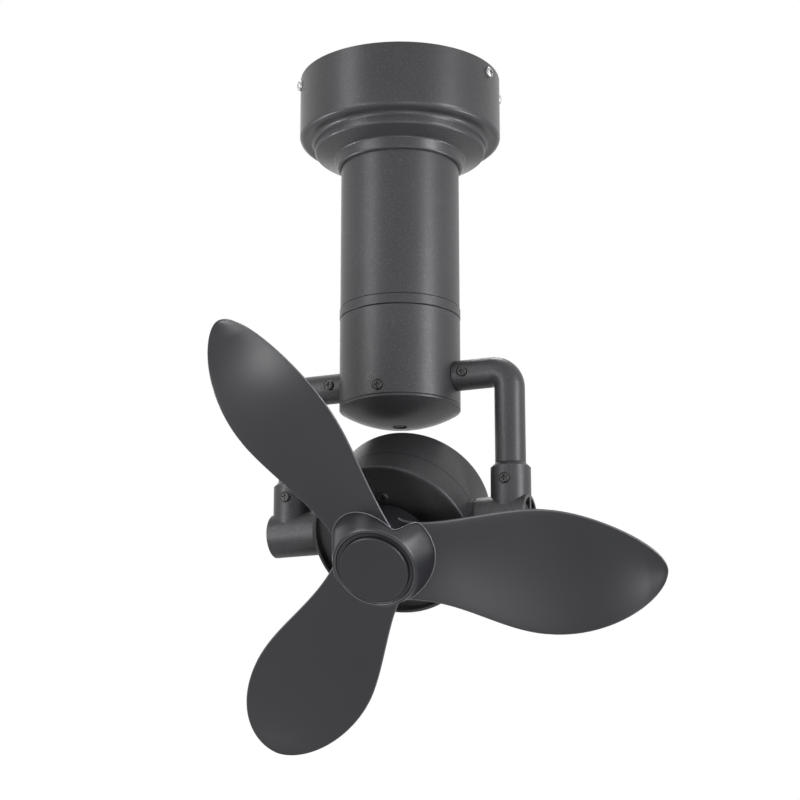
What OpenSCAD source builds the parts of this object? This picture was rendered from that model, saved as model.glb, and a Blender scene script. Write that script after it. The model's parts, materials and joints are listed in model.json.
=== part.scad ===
// Orbital ceiling fan: a canopy and tube hang from a ceiling bracket, a swivel
// housing with two bent arms orbits below them, and a small three-blade fan
// tilts between the arms. Z = 0 is the ceiling, +Z is up, millimetres.

/* [Rest pose] */
// Turn of the swivel housing about the vertical axis
orbit_rest = -11.4; // [-180:0.1:180]
// Downward tilt of the fan axis below the horizontal
tilt_rest = 39; // [15:1:85]
// Turn of the propeller about the fan axis
spin_rest = 112.5; // [0:0.5:360]

/* [Ceiling bracket] */
// Thickness of the bracket steel
bracket_t = 2.5; // [2:0.1:3]
// Width of the bracket plate
bracket_w = 68; // [60:1:76]
// Distance between the two slots for the ceiling screws
slot_spacing = 80; // [70:1:90]
// Overall length of each slot
slot_length = 24; // [12:1:28]
// Width of each slot
slot_w = 6; // [4.5:0.1:7]
// Diameter of the wire hole in the bracket
wire_hole_d = 24; // [16:1:30]
// Width of the tabs that take the canopy screws
tab_w = 14; // [12:0.5:18]
// Depth of the tabs below the ceiling
tab_depth = 15; // [13:0.5:20]
// Least gap between the bracket's corners and the canopy
bracket_room = 6; // [3:0.1:9]

/* [Canopy] */
// Outer diameter of the canopy wall
canopy_d = 152; // [148:1:160]
// Depth of the canopy wall below the ceiling
canopy_depth = 50.2; // [48:0.1:60]
// Sheet thickness of the canopy
canopy_t = 1.2; // [1:0.1:1.6]
// Radius of the lower corner of the wall
canopy_corner = 4; // [3:0.1:6]
// Gap between the ceiling and the canopy edge
canopy_gap = 0.5; // [0.3:0.1:2]
// How far the step is set in from the wall
step_in = 11.4; // [9:0.1:15]
// Height of the step
step_h = 9.6; // [8:0.1:14]
// Radius of the step's lower corner
step_corner = 2.5; // [1.5:0.1:3.5]
// Radius of the hollow corner above the step
step_fillet = 3.4; // [1.5:0.1:4]
// Radius of the hollow corner above the collar
collar_fillet = 2; // [1.5:0.1:3]
// Fall of the shelf between the step and the collar
shelf_fall = 3.4; // [2:0.1:5]
// How far the collar stands out from the tube
collar_out = 4.3; // [3.8:0.05:6]
// How much the collar narrows towards its lower edge
collar_taper = 1.2; // [0.5:0.1:2]
// Height of the collar
collar_h = 8.8; // [7:0.1:12]
// Gap between the collar and the tube
collar_gap = 0.5; // [0.3:0.05:0.8]
// Depth of the canopy screws below the ceiling
canopy_screw_z = 8.5; // [7:0.5:10]
// Angle of each canopy screw from the bracket's long axis
canopy_screw_angle = 20; // [15:1:22]

/* [Canopy contents] */
// Length of the receiver box
box_l = 84; // [60:1:90]
// Gap between the corners of the receiver box and the canopy
box_room = 8; // [6:0.1:12]
// Height of the receiver box
box_h = 24; // [18:1:28]
// Length of the terminal block
terminal_l = 34; // [28:1:40]
// Width of the terminal block
terminal_w = 15; // [12:1:16]
// Height of the terminal block
terminal_h = 13; // [10:1:16]

/* [Tube and drive] */
// Outer diameter of the upper tube
tube_d = 88.9; // [86:0.1:90]
// Wall of the upper tube
tube_t = 1.6; // [1.2:0.1:2.2]
// Distance from the ceiling to the tube's lower end
tube_drop = 183.1; // [180:0.1:200]
// Height of the trim ring below the tube
ring_h = 7.9; // [7.5:0.1:10]
// How far the trim ring stands proud of the tube
ring_proud = 0.45; // [0.2:0.05:0.8]
// Gap between the tube flange and the wall of the step
flange_room = 3.9; // [2:0.1:6]
// Height of the flange at its rim
flange_h = 7; // [6:0.1:9]
// Thickness of the plate that carries the gear motor
drive_plate_t = 3; // [2.5:0.1:4]
// Diameter of the gearbox and its motor
gearbox_d = 24; // [20:0.5:25]
// Length of the gearbox
gearbox_h = 20; // [16:1:24]
// Length of the small motor above the gearbox
orbit_motor_h = 26; // [20:1:30]
// Gap between the gearbox and the tube
gearbox_room = 3.85; // [3:0.05:5]
// Teeth on the orbit gear
gear_teeth = 36; // [32:1:38]
// Teeth on the pinion
pinion_teeth = 18; // [17:1:19]
// Width of the orbit gear
gear_w = 8; // [6:0.5:9]
// Play between the teeth, taken off each tooth
gear_backlash = 0.14; // [0.1:0.01:0.2]
// Outer diameter of the spindle bearings
spindle_bearing_d = 37; // [35:0.5:38]
// Width of each spindle bearing
spindle_bearing_w = 9; // [8:0.5:10]
// Outer diameter of the hollow spindle in the bearings
spindle_d = 20; // [18:0.5:20]
// Wire bore of the spindle
spindle_bore = 10; // [8:0.5:11]
// Wall of the trim ring inside its screw holes
ring_wall = 2.35; // [2:0.05:4]
// Radial play of shafts that turn in a bore
shaft_play = 0.04; // [0.02:0.01:0.08]

/* [Swivel housing] */
// How far the swivel housing stands out from the tube
housing_out = 0.15; // [0:0.05:0.4]
// Wall of the swivel housing
housing_t = 2.4; // [2.2:0.1:3]
// Height of the swivel housing
housing_h = 67.1; // [64:0.1:75]
// Gap in the seam that turns
seam_gap = 0.4; // [0.3:0.05:0.8]
// Height of the cap's straight lip
cap_lip = 2.1; // [1:0.1:3]
// Radius of the cap's dome
cap_dome_r = 86; // [80:1:120]
// Wall of the cap
cap_t = 1.6; // [1.2:0.1:2.2]
// Bevel of the two edges at the cap seam
seam_bevel = 0.5; // [0.2:0.05:0.8]
// Height of the housing screws above the cap seam
housing_screw_up = 6.6; // [6:0.1:9]

/* [Arms] */
// Outer diameter of the arm tubes
arm_d = 22.2; // [20:0.1:23]
// Wall of the arm tubes
arm_t = 1.6; // [1.2:0.1:2]
// Height of the arms' level part above the cap seam
arm_up = 20; // [18:0.1:24]
// Radius of the inner side of each bend
bend_in = 1.8; // [0.4:0.05:5]
// Gap between the arms and the housing's wall
cope_gap = 0.5; // [0.1:0.05:1]
// Distance from the housing's wall to the arm screws
arm_screw_out = 7.7; // [6.5:0.1:12]

/* [Tees] */
// Gap between the cap and the drum's corner as the fan tilts
swing_room = 4.48; // [3:0.01:12]
// Wall of the upright socket
socket_wall = 3.4; // [2.8:0.1:4.5]
// Distance from the barrel's inner end to the middle of the upright
upright_in = 23.5; // [20:0.1:28]
// Height of the socket's shoulder above the tilt axis
socket_h = 36; // [34:0.5:40]
// Outer diameter of the pivot barrel
barrel_d = 32; // [31:0.1:34]
// Gap between the drum and each barrel
barrel_gap = 2; // [1.6:0.1:4]
// Length of the pivot barrel
barrel_l = 37.9; // [34:0.1:44]
// Height of the tee screws above the tilt axis
tee_screw_up = 26; // [24:0.5:28]
// Diameter of the pivot stub in its bush
pivot_d = 16; // [14:0.5:17]
// Wall of the pivot bush
bush_t = 3; // [2:0.1:3.5]
// Depth of the recess at the barrel's outer end
barrel_recess = 10.5; // [9:0.1:12]

/* [Fan motor] */
// Outer diameter of the motor drum
drum_d = 119; // [116:0.5:119.5]
// Distance from the tilt axis to the drum's rear face
drum_rear = 36.5; // [35:0.5:38]
// Distance from the tilt axis to the drum's front rim
drum_front = 22; // [21:0.5:24]
// Wall of the drum shells
shell_t = 1.6; // [1.4:0.1:2]
// Radius of the drum's rear corner
drum_corner = 4; // [3:0.1:8]
// Radius of the front rim's edge
rim_corner = 1.5; // [0.8:0.1:2]
// Depth of the front face below the rim
face_recess = 5; // [4:0.1:5.5]
// Diameter of the motor shaft
shaft_d = 8; // [7:0.5:8]
// Outer diameter of the motor bearings
motor_bearing_d = 22; // [20:0.5:22]
// Width of the motor bearings
motor_bearing_w = 7; // [6:0.5:7]
// Gap between the stator core and the drum's wall
stator_room = 7.9; // [7:0.1:12]
// Length of the stator core
stator_l = 22; // [18:1:22]
// Diameter of the rotor
rotor_d = 47.4; // [40:0.2:50]
// Air gap between the rotor and the stator
air_gap = 0.4; // [0.3:0.05:0.6]
// Number of stator slots
stator_slots = 16; // [12:1:18]
// Distance from the axis to the front face screws
face_screw_r = 33; // [30:0.5:35]

/* [Propeller] */
// Radius of the blade tips
blade_tip_r = 203.7; // [190:0.1:208]
// Half width of the blade's leading side at its widest
lead_w = 40.7; // [30:0.1:44]
// Half width of the blade's trailing side at its widest
trail_w = 45.6; // [34:0.1:48]
// Distance from the axis to the widest place
belly_r = 121.7; // [100:0.1:135]
// Blade angle at the hub
pitch_root = 17.2; // [12:0.1:20]
// Blade angle at the tip
pitch_tip = 11.2; // [6:0.1:16]
// Distance from the tilt axis to the blade's middle line at the hub
mid_root = 49.7; // [47:0.1:51]
// Pull of the blade's middle line in its inner half
mid_inner = 38.8; // [36:0.1:50]
// Pull of the blade's middle line in its outer half
mid_outer = 65.6; // [45:0.1:68]
// Distance from the tilt axis to the blade's middle line at the tip
mid_tip = 41.6; // [38:0.1:60]
// Blade thickness at the hub
blade_t_root = 5; // [4:0.1:6]
// Blade thickness at the tip
blade_t_tip = 2.4; // [1.8:0.1:3]
// Hollow of the blade's front face
blade_camber = 3; // [0:0.1:5]
// Number of blades
blade_count = 3; // [2:1:3]
// Distance from the tilt axis to the hub's rear edge
hub_rear = 26; // [25:0.1:28]
// Distance from the tilt axis to the hub's front edge
hub_front = 63.4; // [62:0.1:65]
// Outer diameter of the hub's core
hub_d = 62; // [61:0.1:64]
// Width of the rounded shoulder round the hub
shoulder_w = 12; // [10:0.1:13]
// Fall of the shoulder from the hub's front edge
shoulder_fall = 21; // [12:0.1:24]
// Distance from the axis to the end of each root lobe
lobe_reach = 40.5; // [38:0.1:42]
// Radius of each root lobe
lobe_r = 27.5; // [26:0.1:29]
// Turn of each lobe from its blade's axis
lobe_skew = 8; // [0:0.5:12]
// Rim left round the groove of the hub
groove_rim = 1.2; // [1:0.1:2]
// Width of the groove round the hub cap
groove_w = 4.8; // [3:0.1:7]
// How far the hub cap stands proud of the hub
hub_cap_proud = 2; // [0:0.1:3]

/* [Screws] */
// Thread diameter of the screws
screw_d = 4; // [3.5:0.1:4]
// Head diameter of the screws
screw_head_d = 7.4; // [7:0.1:8]
// Head height of the screws
screw_head_h = 2; // [1.6:0.1:2.4]
// Gap between a screw head and its dimple
dimple_gap = 0.6; // [0.4:0.05:1]
// Depth of the dimple
dimple_depth = 0.8; // [0.4:0.1:0.9]
// Head diameter of the canopy screws
canopy_head_d = 8; // [7:0.1:8.5]
// Head height of the canopy screws
canopy_head_h = 3.1; // [2.4:0.1:3.4]

/* [Hidden] */
$fn = 64;

// Small allowances shared by every joint of the same kind
eps = 0.01;         // overlap that keeps cuts clean
seat_gap = 0.02;    // between pieces that are pressed or slipped together
slip_gap = 0.1;     // between flat faces that turn against each other
free_gap = 0.3;     // between round faces that pass each other
tap_gap = 0.03;     // between a screw and its tapped hole

// Finishes
charcoal = [0.30, 0.29, 0.29];
blade_grey = [0.25, 0.25, 0.26];
dark_steel = [0.16, 0.16, 0.16];
bright_steel = [0.82, 0.82, 0.83];
plain_steel = [0.60, 0.61, 0.63];
aluminium = [0.72, 0.73, 0.74];
copper = [0.72, 0.43, 0.24];
brass = [0.78, 0.63, 0.32];
white_plastic = [0.90, 0.90, 0.88];
black_plastic = [0.10, 0.10, 0.10];

// Heights of the hanging parts, from the ceiling down
canopy_r = canopy_d / 2;
canopy_ri = canopy_r - canopy_t;
step_r = canopy_r - step_in;
shelf_z = -canopy_depth - step_h;
collar_z = shelf_z - shelf_fall;
collar_lip = 1.8;
tube_r = tube_d / 2;
tube_ri = tube_r - tube_t;
collar_r = tube_r + collar_out;
drum_r = drum_d / 2;
drum_ri = drum_r - shell_t;
housing_r = tube_r + housing_out;
housing_ri = housing_r - housing_t;
ring_top = -tube_drop;
ring_bottom = ring_top - ring_h;
housing_top = ring_bottom - seam_gap;
cap_seam = housing_top - housing_h;
arm_z = cap_seam + arm_up;
arm_r = arm_d / 2;

// Centres of the two rounded corners that the canopy's shelf runs between
shelf_out = [step_r - step_corner, shelf_z + step_corner];
shelf_in = [collar_r + collar_fillet, collar_z - collar_fillet];
shelf_span = shelf_in - shelf_out;
shelf_slope = 180 + atan2(shelf_span.y, shelf_span.x)
    - asin((step_corner + collar_fillet) / norm(shelf_span));

// Tube flange, seated on the inside of the shelf
flange_r = step_r - canopy_t - flange_room;
flange_in = tube_r + seat_gap;
flange_rim_z = shelf_seat_z(flange_r);
flange_top = flange_rim_z + flange_h;
tube_above_flange = 3;
flange_screw_count = 3;

// Canopy screws and the tabs that they go into
canopy_flat = 0.2;
tab_face = sqrt(pow(canopy_ri, 2) - pow(tab_w / 2, 2)) - slip_gap;
tab_angles = [for (side = [0, 180], turn = [-1, 1]) side + turn * canopy_screw_angle];
tab_screw_past = 2;

// Screw heads
dimple_d = screw_head_d + 2 * dimple_gap;

// Pieces on the underside of the bracket
bracket_half = slot_spacing / 2 + slot_length / 2 + 6;
wire_margin = 2;
box_from = wire_hole_d / 2 + wire_margin;
box_w = sqrt(pow(canopy_ri - box_room, 2) - pow(box_l / 2, 2)) - box_from;
box_at = [0, box_from + box_w / 2];
ear_l = 9;
ear_t = 2;
box_screw_x = box_l / 2 + ear_l / 2;
box_corner = 3;
terminal_at = [-bracket_half / 3, -box_from - terminal_w / 2];
terminal_ways = 4;
way_d = 4;
ground_at = [bracket_half / 3, terminal_at.y];
box_screw_y = box_from + ear_l / 2 + 4;

// Spindle, its bearings and the drive above them
spindle_r = spindle_d / 2;
spindle_collar_r = spindle_r + 2;
gear_seat_d = 17;
nut_thread_d = 16;
nut_h = 5;
nut_flats = 22;
bearing_in_bottom = 2;
bearing_shoulder = 2;
circlip_t = 1.4;
circlip_bite = 1.5;
lower_bearing_z = ring_top + bearing_in_bottom;
bearing_spacing = 10;
upper_bearing_z = lower_bearing_z + spindle_bearing_w + bearing_spacing;
housing_block_top = upper_bearing_z + spindle_bearing_w + 0.5;
gear_z = housing_block_top + 2;
gear_top = gear_z + gear_w;
plate_z = gear_top + 1;
plate_top = plate_z + drive_plate_t;
gear_centre = tube_ri - gearbox_d / 2 - gearbox_room;
gear_module = 2 * gear_centre / (gear_teeth + pinion_teeth);
pinion_turn = 200;
post_r = 4;
post_circle = tube_ri - post_r - 2;
post_angles = [for (i = [0 : 2]) pinion_turn + 60 + i * 120];
plate_hole_d = nut_flats / cos(30) + 3;
pinion_shaft_d = 5;
pinion_shaft_in = 8;
gearbox_nose_d = 12;
post_screw_in = 8;
slip_rim_t = 2;
slip_ring_d = 22;
slip_ring_h = 26;
slip_legs = 3;
slip_leg_d = 3;
slip_leg_r = plate_hole_d / 2 + slip_leg_d / 2 + slip_gap;
slip_rim_r = slip_leg_r + slip_leg_d / 2 + 1;
slip_leg_h = 8;
flange_bolt_count = 4;
ring_lift = 3;
spindle_flange_h = ring_h - ring_lift + seam_gap;
housing_top_t = 4;
ring_screw_in = 5;
ring_screw_circle = tube_ri - ring_screw_in;
ring_recess_d = screw_head_d + 0.6;
ring_recess_h = screw_head_h + 1;
ring_in_r = ring_screw_circle - ring_recess_d / 2 - ring_wall;
ring_play = 1.5;
flange_bolt_in = 7;
spindle_flange_d = 2 * (ring_in_r - ring_play);
flange_bolt_circle = spindle_flange_d - 2 * flange_bolt_in;
ring_screw_count = 3;
ring_screw_l = 12;
ring_bevel = 0.4;
ring_r = tube_r + ring_proud;

// Crossbar, arms and tees
arm_bend_r = arm_r + bend_in;
arm_screw_x = housing_r + arm_screw_out;
barrel_in = drum_r + barrel_gap;
barrel_out = barrel_in + barrel_l;
arm_reach = barrel_in + upright_in;
bar_r = arm_r - arm_t - seat_gap;
bar_t = 2.5;
bar_end = arm_reach - arm_bend_r - 5;
bar_window = [16, 10];
socket_r = arm_r + socket_wall;
barrel_r = barrel_d / 2;
socket_chamfer = socket_r - arm_r;
socket_floor = barrel_r + 2;
barrel_edge = 0.6;
wire_way_d = 9;
bush_r = pivot_d / 2 + bush_t;
bush_out = barrel_out - barrel_recess;
recess_r = barrel_r - 2.6;

// Cap and the bridge that holds it
bridge_w = 14;
bridge_t = 2.5;
bridge_past = 3.4;
bridge_boss_d = 10;
bridge_boss_h = 4;
bridge_z = cap_seam + free_gap;
bridge_h = housing_screw_up + bridge_past - free_gap;
cap_box_gap = 5.6;
cap_box = [50, 20, housing_top - housing_top_t - arm_z - bar_r - cap_box_gap];
cap_box_y = -10;
spigot_r = housing_ri - slip_gap;
dome_angle = asin((housing_r - seam_bevel / 2) / cap_dome_r);
dome_inner_angle = asin((spigot_r - cap_t) / (cap_dome_r - cap_t));
cap_spigot_h = 4;
cap_hole_d = screw_head_d + 2.6;
cap_sink = 2.6;
cap_boss_t = 2;
cap_mouth = 0.8;
dome_drop = cap_dome_r * (1 - cos(dome_angle));
cap_bottom = cap_seam - cap_lip - dome_drop;
dome_centre = cap_bottom + cap_dome_r;
pivot_z = cap_bottom - norm([drum_r, drum_rear]) - swing_room;
arm_foot = pivot_z + socket_floor;

// Fan head, along the fan axis from the tilt axis
shell_seam = -0.7;
shell_seam_w = 0.5;
seam_rear = shell_seam - shell_seam_w / 2;
seam_front = shell_seam + shell_seam_w / 2;
face_front = drum_front - face_recess;
face_back = face_front - shell_t;
pad_r = 16;
pad_out = barrel_in - 1.3;
pad_in = drum_ri - 2.4;
washer_t = barrel_in - slip_gap - pad_out;
stub_flange_r = 12;
stub_flange_t = 3;
stub_bore_d = 6;
pivot_head_r = 10;
pivot_head_h = 6;
pivot_head_edge = 1.2;
stub_thread_l = 20;
outer_washer_t = 1.2;
bell_h = 9.4;
bolt_in = 4;
stator_d = 2 * (drum_ri - stator_room);
stator_front = face_back - bell_h;
stator_rear = stator_front - stator_l;
bolt_circle = stator_d - 2 * bolt_in;
bolt_count = 4;
bolt_turn = 45;
bell_bolt_in = 10;
bell_t = 3;
bell_skirt = 7;
motor_boss_r = motor_bearing_d / 2 + 3;
rear_bearing_s = -drum_rear + shell_t + 1.5;
front_bearing_s = face_back - motor_bearing_w;
winding_h = 4.8;
winding_gap = 0.4;
slot_lip = 3;
slot_mouth = 2;
stator_yoke = 8.5;
rotor_ring_h = 1;
face_screw_turn = 89;
face_screw_count = 4;

// Propeller
core_r = hub_d / 2;
hub_wall = 2.5;
core_edge = 1;
lobe_rear = 35;
groove_d = hub_d - 2 * groove_rim;
hub_cap_d = groove_d - 2 * groove_w;
groove_depth = 6.4;
groove_floor = hub_front - groove_depth;
groove_slant = 2.8;
web_t = 3;
boss_r = 10;
boss_rear = 36;
insert_r = 7;
rib_count = 6;
rib_t = 2;
rib_h = 12;
shaft_end = hub_front - 1.4;
prop_nut_flats = 13;
prop_nut_h = 4;
cap_wall = 2;
cap_edge = 1;
root_r = 14;
lead_root = 29.3;
trail_root = 27;
lead_pull = [20.2, -11.8];
trail_pull = [45.9, -0.1];
belly_pull_in = [33.1, 36.9];
belly_pull_out = [42, 42.7];
tip_shift = -2.6;
tip_round = [16.9, 20.2];
blade_edge_t = 1.2;
root_bury = [6, 22];
tip_stop = 0.98;
half_rings = 12;
chord_steps = 10;

// ---------- helpers ----------

// Points of an arc in a profile, from angle a0 to a1
function arc(cx, cy, r, a0, a1, n = 8) =
    [for (i = [0 : n]) let (a = a0 + (a1 - a0) * i / n) [cx + r * cos(a), cy + r * sin(a)]];

function reversed(list) = [for (i = [len(list) - 1 : -1 : 0]) list[i]];

function bezier(p, t) =
    pow(1 - t, 3) * p[0] + 3 * t * pow(1 - t, 2) * p[1]
    + 3 * t * t * (1 - t) * p[2] + pow(t, 3) * p[3];

// Places its children on the swivel housing, on the tilting fan head or on the
// propeller; in the fan head's frame +Z runs forward along the fan axis
module on_yoke() rotate([0, 0, orbit_rest]) children();
module on_fan() on_yoke() translate([0, 0, pivot_z]) rotate([90 + tilt_rest, 0, 0]) children();
module on_propeller() on_fan() rotate([0, 0, spin_rest]) children();

// Copies its children round the Z axis
module around(count, first = 0)
    for (i = [0 : count - 1]) rotate([0, 0, first + i * 360 / count]) children();

// Puts its children on both sides of the YZ plane
module both_sides() {
    children();
    mirror([1, 0, 0]) children();
}

// Turns +Z to point outward along a direction in the XY plane
module facing(angle, r, z) rotate([0, 0, angle]) translate([r, 0, z]) rotate([0, 90, 0]) children();

// A tube that stands on its lower end
module tube(d, bore, h) difference() {
    cylinder(d = d, h = h);
    translate([0, 0, -eps]) cylinder(d = bore, h = h + 2 * eps);
}

// A pan-head screw with its seat at Z = 0 and its head above
module pan_screw(l, d = screw_d, head_d = screw_head_d, head_h = screw_head_h, shank_gap = tap_gap) {
    crown = head_h * 0.6;
    slot_w = head_d * 0.14;
    slot_l = head_d * 0.56;
    difference() {
        union() {
            rotate_extrude() polygon(concat(
                [[0, 0], [head_d / 2, 0]],
                arc(head_d / 2 - crown, head_h - crown, crown, 0, 90, 5),
                [[0, head_h]]
            ));
            translate([0, 0, -l]) cylinder(d = d - 2 * shank_gap, h = l);
        }
        translate([0, 0, head_h]) for (turn = [0, 90]) rotate([0, 0, turn])
            cube([slot_l, slot_w, head_h], center = true);
    }
}

// The flat-bottomed dimple that a screw head sits in, and its through hole
module dimple(l) {
    cylinder(d = dimple_d, h = l);
    translate([0, 0, -l]) cylinder(d = screw_d, h = l + eps);
}

// A deep-groove ball bearing drawn as its two rings and its balls' shield
module ball_bearing(bore, d, w) {
    ring = (d - bore) / 2 * 0.28;
    shield_in = w * 0.12;
    rotate_extrude() difference() {
        translate([bore / 2, 0]) square([(d - bore) / 2, w]);
        for (z = [-eps, w - shield_in]) translate([bore / 2 + ring, z])
            square([(d - bore) / 2 - 2 * ring, shield_in + eps]);
    }
}

// ---------- ceiling bracket and canopy ----------

// Screw places on the bracket: ground, terminal block, receiver box
bracket_taps = [
    ground_at, terminal_at, [box_screw_x, box_screw_y], [-box_screw_x, box_screw_y]
];

module bracket_outline() {
    intersection() {
        square([2 * bracket_half, bracket_w], center = true);
        circle(r = canopy_ri - bracket_room);
    }
    for (a = tab_angles) rotate(a) translate([0, -tab_w / 2]) square([tab_face, tab_w]);
}

// One ceiling slot, long in X
module slot_cut() {
    reach = (slot_length - slot_w) / 2;
    for (end = [-1, 1]) translate([end * reach, 0]) circle(d = slot_w);
    square([2 * reach, slot_w], center = true);
}

module ceiling_bracket() color(plain_steel) difference() {
    union() {
        translate([0, 0, -bracket_t]) linear_extrude(bracket_t) difference() {
            bracket_outline();
            circle(d = wire_hole_d);
            for (side = [-1, 1]) translate([side * slot_spacing / 2, 0]) slot_cut();
            for (at = bracket_taps) translate(at) circle(d = screw_d);
        }
        for (a = tab_angles) rotate([0, 0, a])
            translate([tab_face - bracket_t, -tab_w / 2, -tab_depth]) cube([bracket_t, tab_w, tab_depth]);
    }
    for (a = tab_angles) facing(a, tab_face - bracket_t - eps, -canopy_screw_z)
        cylinder(d = screw_d, h = bracket_t + 2 * eps);
}

// Ground screw, and the screws of the terminal block and the receiver box
module bracket_screws() color(brass) {
    stack = [0, terminal_h / 2, ear_t, ear_t];
    for (i = [0 : len(bracket_taps) - 1])
        translate([bracket_taps[i].x, bracket_taps[i].y, -bracket_t - stack[i]])
            mirror([0, 0, 1]) pan_screw(bracket_t + stack[i]);
}

module terminal_block() color(white_plastic) difference() {
    translate([terminal_at.x - terminal_l / 2, terminal_at.y - terminal_w / 2, -bracket_t - terminal_h])
        cube([terminal_l, terminal_w, terminal_h]);
    translate([terminal_at.x, terminal_at.y, -bracket_t - terminal_h]) {
        cylinder(d = screw_d, h = terminal_h + eps);
        translate([0, 0, -eps]) cylinder(d = screw_head_d + 1, h = terminal_h / 2 + eps);
    }
    for (side = [-1, 1]) for (i = [1 : terminal_ways / 2])
        translate([
            terminal_at.x + side * (screw_head_d + (i - 1) * (way_d + 2)),
            terminal_at.y - terminal_w / 2 - eps,
            -bracket_t - terminal_h * 0.65
        ]) rotate([-90, 0, 0]) cylinder(d = way_d, h = terminal_w + 2 * eps);
}

module receiver_box() color(black_plastic) translate([box_at.x, box_at.y, -bracket_t]) difference() {
    union() {
        translate([0, 0, -box_h]) linear_extrude(box_h) {
            square([box_l, box_w - 2 * box_corner], center = true);
            square([box_l - 2 * box_corner, box_w], center = true);
            for (x = [-1, 1], y = [-1, 1])
                translate([x * (box_l / 2 - box_corner), y * (box_w / 2 - box_corner)]) circle(r = box_corner);
        }
        for (side = [-1, 1]) translate([
            side * box_screw_x - ear_l / 2 - eps, box_screw_y - box_at.y - ear_l / 2, -ear_t
        ]) cube([ear_l + 2 * eps, ear_l, ear_t]);
    }
    for (side = [-1, 1]) translate([side * box_screw_x, box_screw_y - box_at.y, -ear_t - eps])
        cylinder(d = screw_d, h = ear_t + 2 * eps);
}

// One face of the canopy sheet: inset 0 is the outside, canopy_t the inside
function canopy_curve(inset) = concat(
    [[canopy_r - inset, -canopy_gap]],
    arc(canopy_r - canopy_corner, -canopy_depth + canopy_corner, canopy_corner - inset, 0, -90),
    arc(step_r + step_fillet, -canopy_depth - step_fillet, step_fillet + inset, 90, 180, 8),
    arc(shelf_out.x, shelf_out.y, step_corner - inset, 0, shelf_slope - 90),
    arc(shelf_in.x, shelf_in.y, collar_fillet + inset, 90 + shelf_slope, 180, 8),
    arc(collar_r - collar_taper - collar_lip, collar_z - collar_h + collar_lip, collar_lip - inset, 0, -90, 6),
    [[tube_r + collar_gap, collar_z - collar_h + inset]]
);

// Height of the inside of the sloping shelf at a radius
function shelf_seat_z(r) =
    shelf_out.y - (step_corner - canopy_t) / cos(shelf_slope) - (shelf_out.x - r) * tan(shelf_slope);

module canopy() color(charcoal) difference() {
    rotate_extrude($fn = 180) polygon(concat(canopy_curve(0), reversed(canopy_curve(canopy_t))));
    for (a = tab_angles) facing(a, canopy_r - canopy_flat, -canopy_screw_z) {
        cylinder(d = canopy_head_d + 1, h = canopy_t);
        translate([0, 0, -2 * canopy_t]) cylinder(d = screw_d + 2 * slip_gap, h = 3 * canopy_t);
    }
}

module canopy_screws() color(bright_steel) for (a = tab_angles)
    facing(a, canopy_r - canopy_flat, -canopy_screw_z)
        pan_screw(canopy_r - tab_face + bracket_t + tab_screw_past,
            head_d = canopy_head_d, head_h = canopy_head_h);

module tube_flange() color(plain_steel) difference() {
    rotate_extrude() polygon([
        [flange_in, shelf_seat_z(shelf_in.x)], [shelf_in.x, shelf_seat_z(shelf_in.x)],
        [flange_r, flange_rim_z], [flange_r, flange_top], [flange_in, flange_top]
    ]);
    around(flange_screw_count) facing(0, flange_in - eps, flange_rim_z + flange_h / 2)
        cylinder(d = screw_d, h = flange_r);
}

// Headless set screws through the flange into the tube
module flange_screws() color(dark_steel)
    around(flange_screw_count) facing(0, tube_ri - 1, flange_rim_z + flange_h / 2) difference() {
        cylinder(d = screw_d - 2 * tap_gap, h = flange_r - tube_ri);
        translate([0, 0, flange_r - tube_ri - 2]) cylinder(d = 2, h = 3, $fn = 6);
    }

module upper_tube() color(charcoal) difference() {
    translate([0, 0, ring_top])
        tube(tube_d, tube_d - 2 * tube_t, flange_top + tube_above_flange - ring_top);
    around(flange_screw_count) facing(0, tube_ri - 1, flange_rim_z + flange_h / 2)
        cylinder(d = screw_d, h = tube_t + 2);
}

// ---------- spindle drive inside the tube ----------

// Outline of an involute spur gear, tooth 0 centred on +X
function involute(a) = tan(a) * 180 / PI - a;
function tooth_half_angle(r, n) = let (
    rp = gear_module * n / 2,
    rb = rp * cos(20)
) 90 / n - gear_backlash / rp * 45 / PI + involute(20) - involute(acos(min(1, rb / r)));

module gear_outline(n) {
    rp = gear_module * n / 2;
    root = rp - 1.25 * gear_module;
    base = max(root + 0.1 * gear_module, rp * cos(20));
    tip = rp + gear_module;
    radii = [root, base, (base + rp) / 2, rp, (rp + tip) / 2, tip];
    flank = [for (r = radii) [r, tooth_half_angle(max(r, base), n)]];
    polygon([for (i = [0 : n - 1]) each concat(
        [for (f = flank) f[0] * [cos(i * 360 / n - f[1]), sin(i * 360 / n - f[1])]],
        [for (f = reversed(flank)) f[0] * [cos(i * 360 / n + f[1]), sin(i * 360 / n + f[1])]]
    )]);
}

module drive_plate() color(plain_steel) difference() {
    translate([0, 0, plate_z]) cylinder(r = tube_ri - free_gap, h = drive_plate_t);
    translate([0, 0, plate_z - eps]) {
        cylinder(d = plate_hole_d, h = drive_plate_t + 2 * eps);
        rotate([0, 0, pinion_turn]) translate([gear_centre, 0, 0])
            cylinder(d = gearbox_nose_d + 2 * slip_gap, h = drive_plate_t + 2 * eps);
        for (a = post_angles) rotate([0, 0, a]) translate([post_circle, 0, 0])
            cylinder(d = screw_d + 2 * slip_gap, h = drive_plate_t + 2 * eps);
    }
}

module drive_screws() color(dark_steel) for (a = post_angles) rotate([0, 0, a])
    translate([post_circle, 0, plate_top]) pan_screw(drive_plate_t + post_screw_in, head_d = 2 * post_r - 1);

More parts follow.
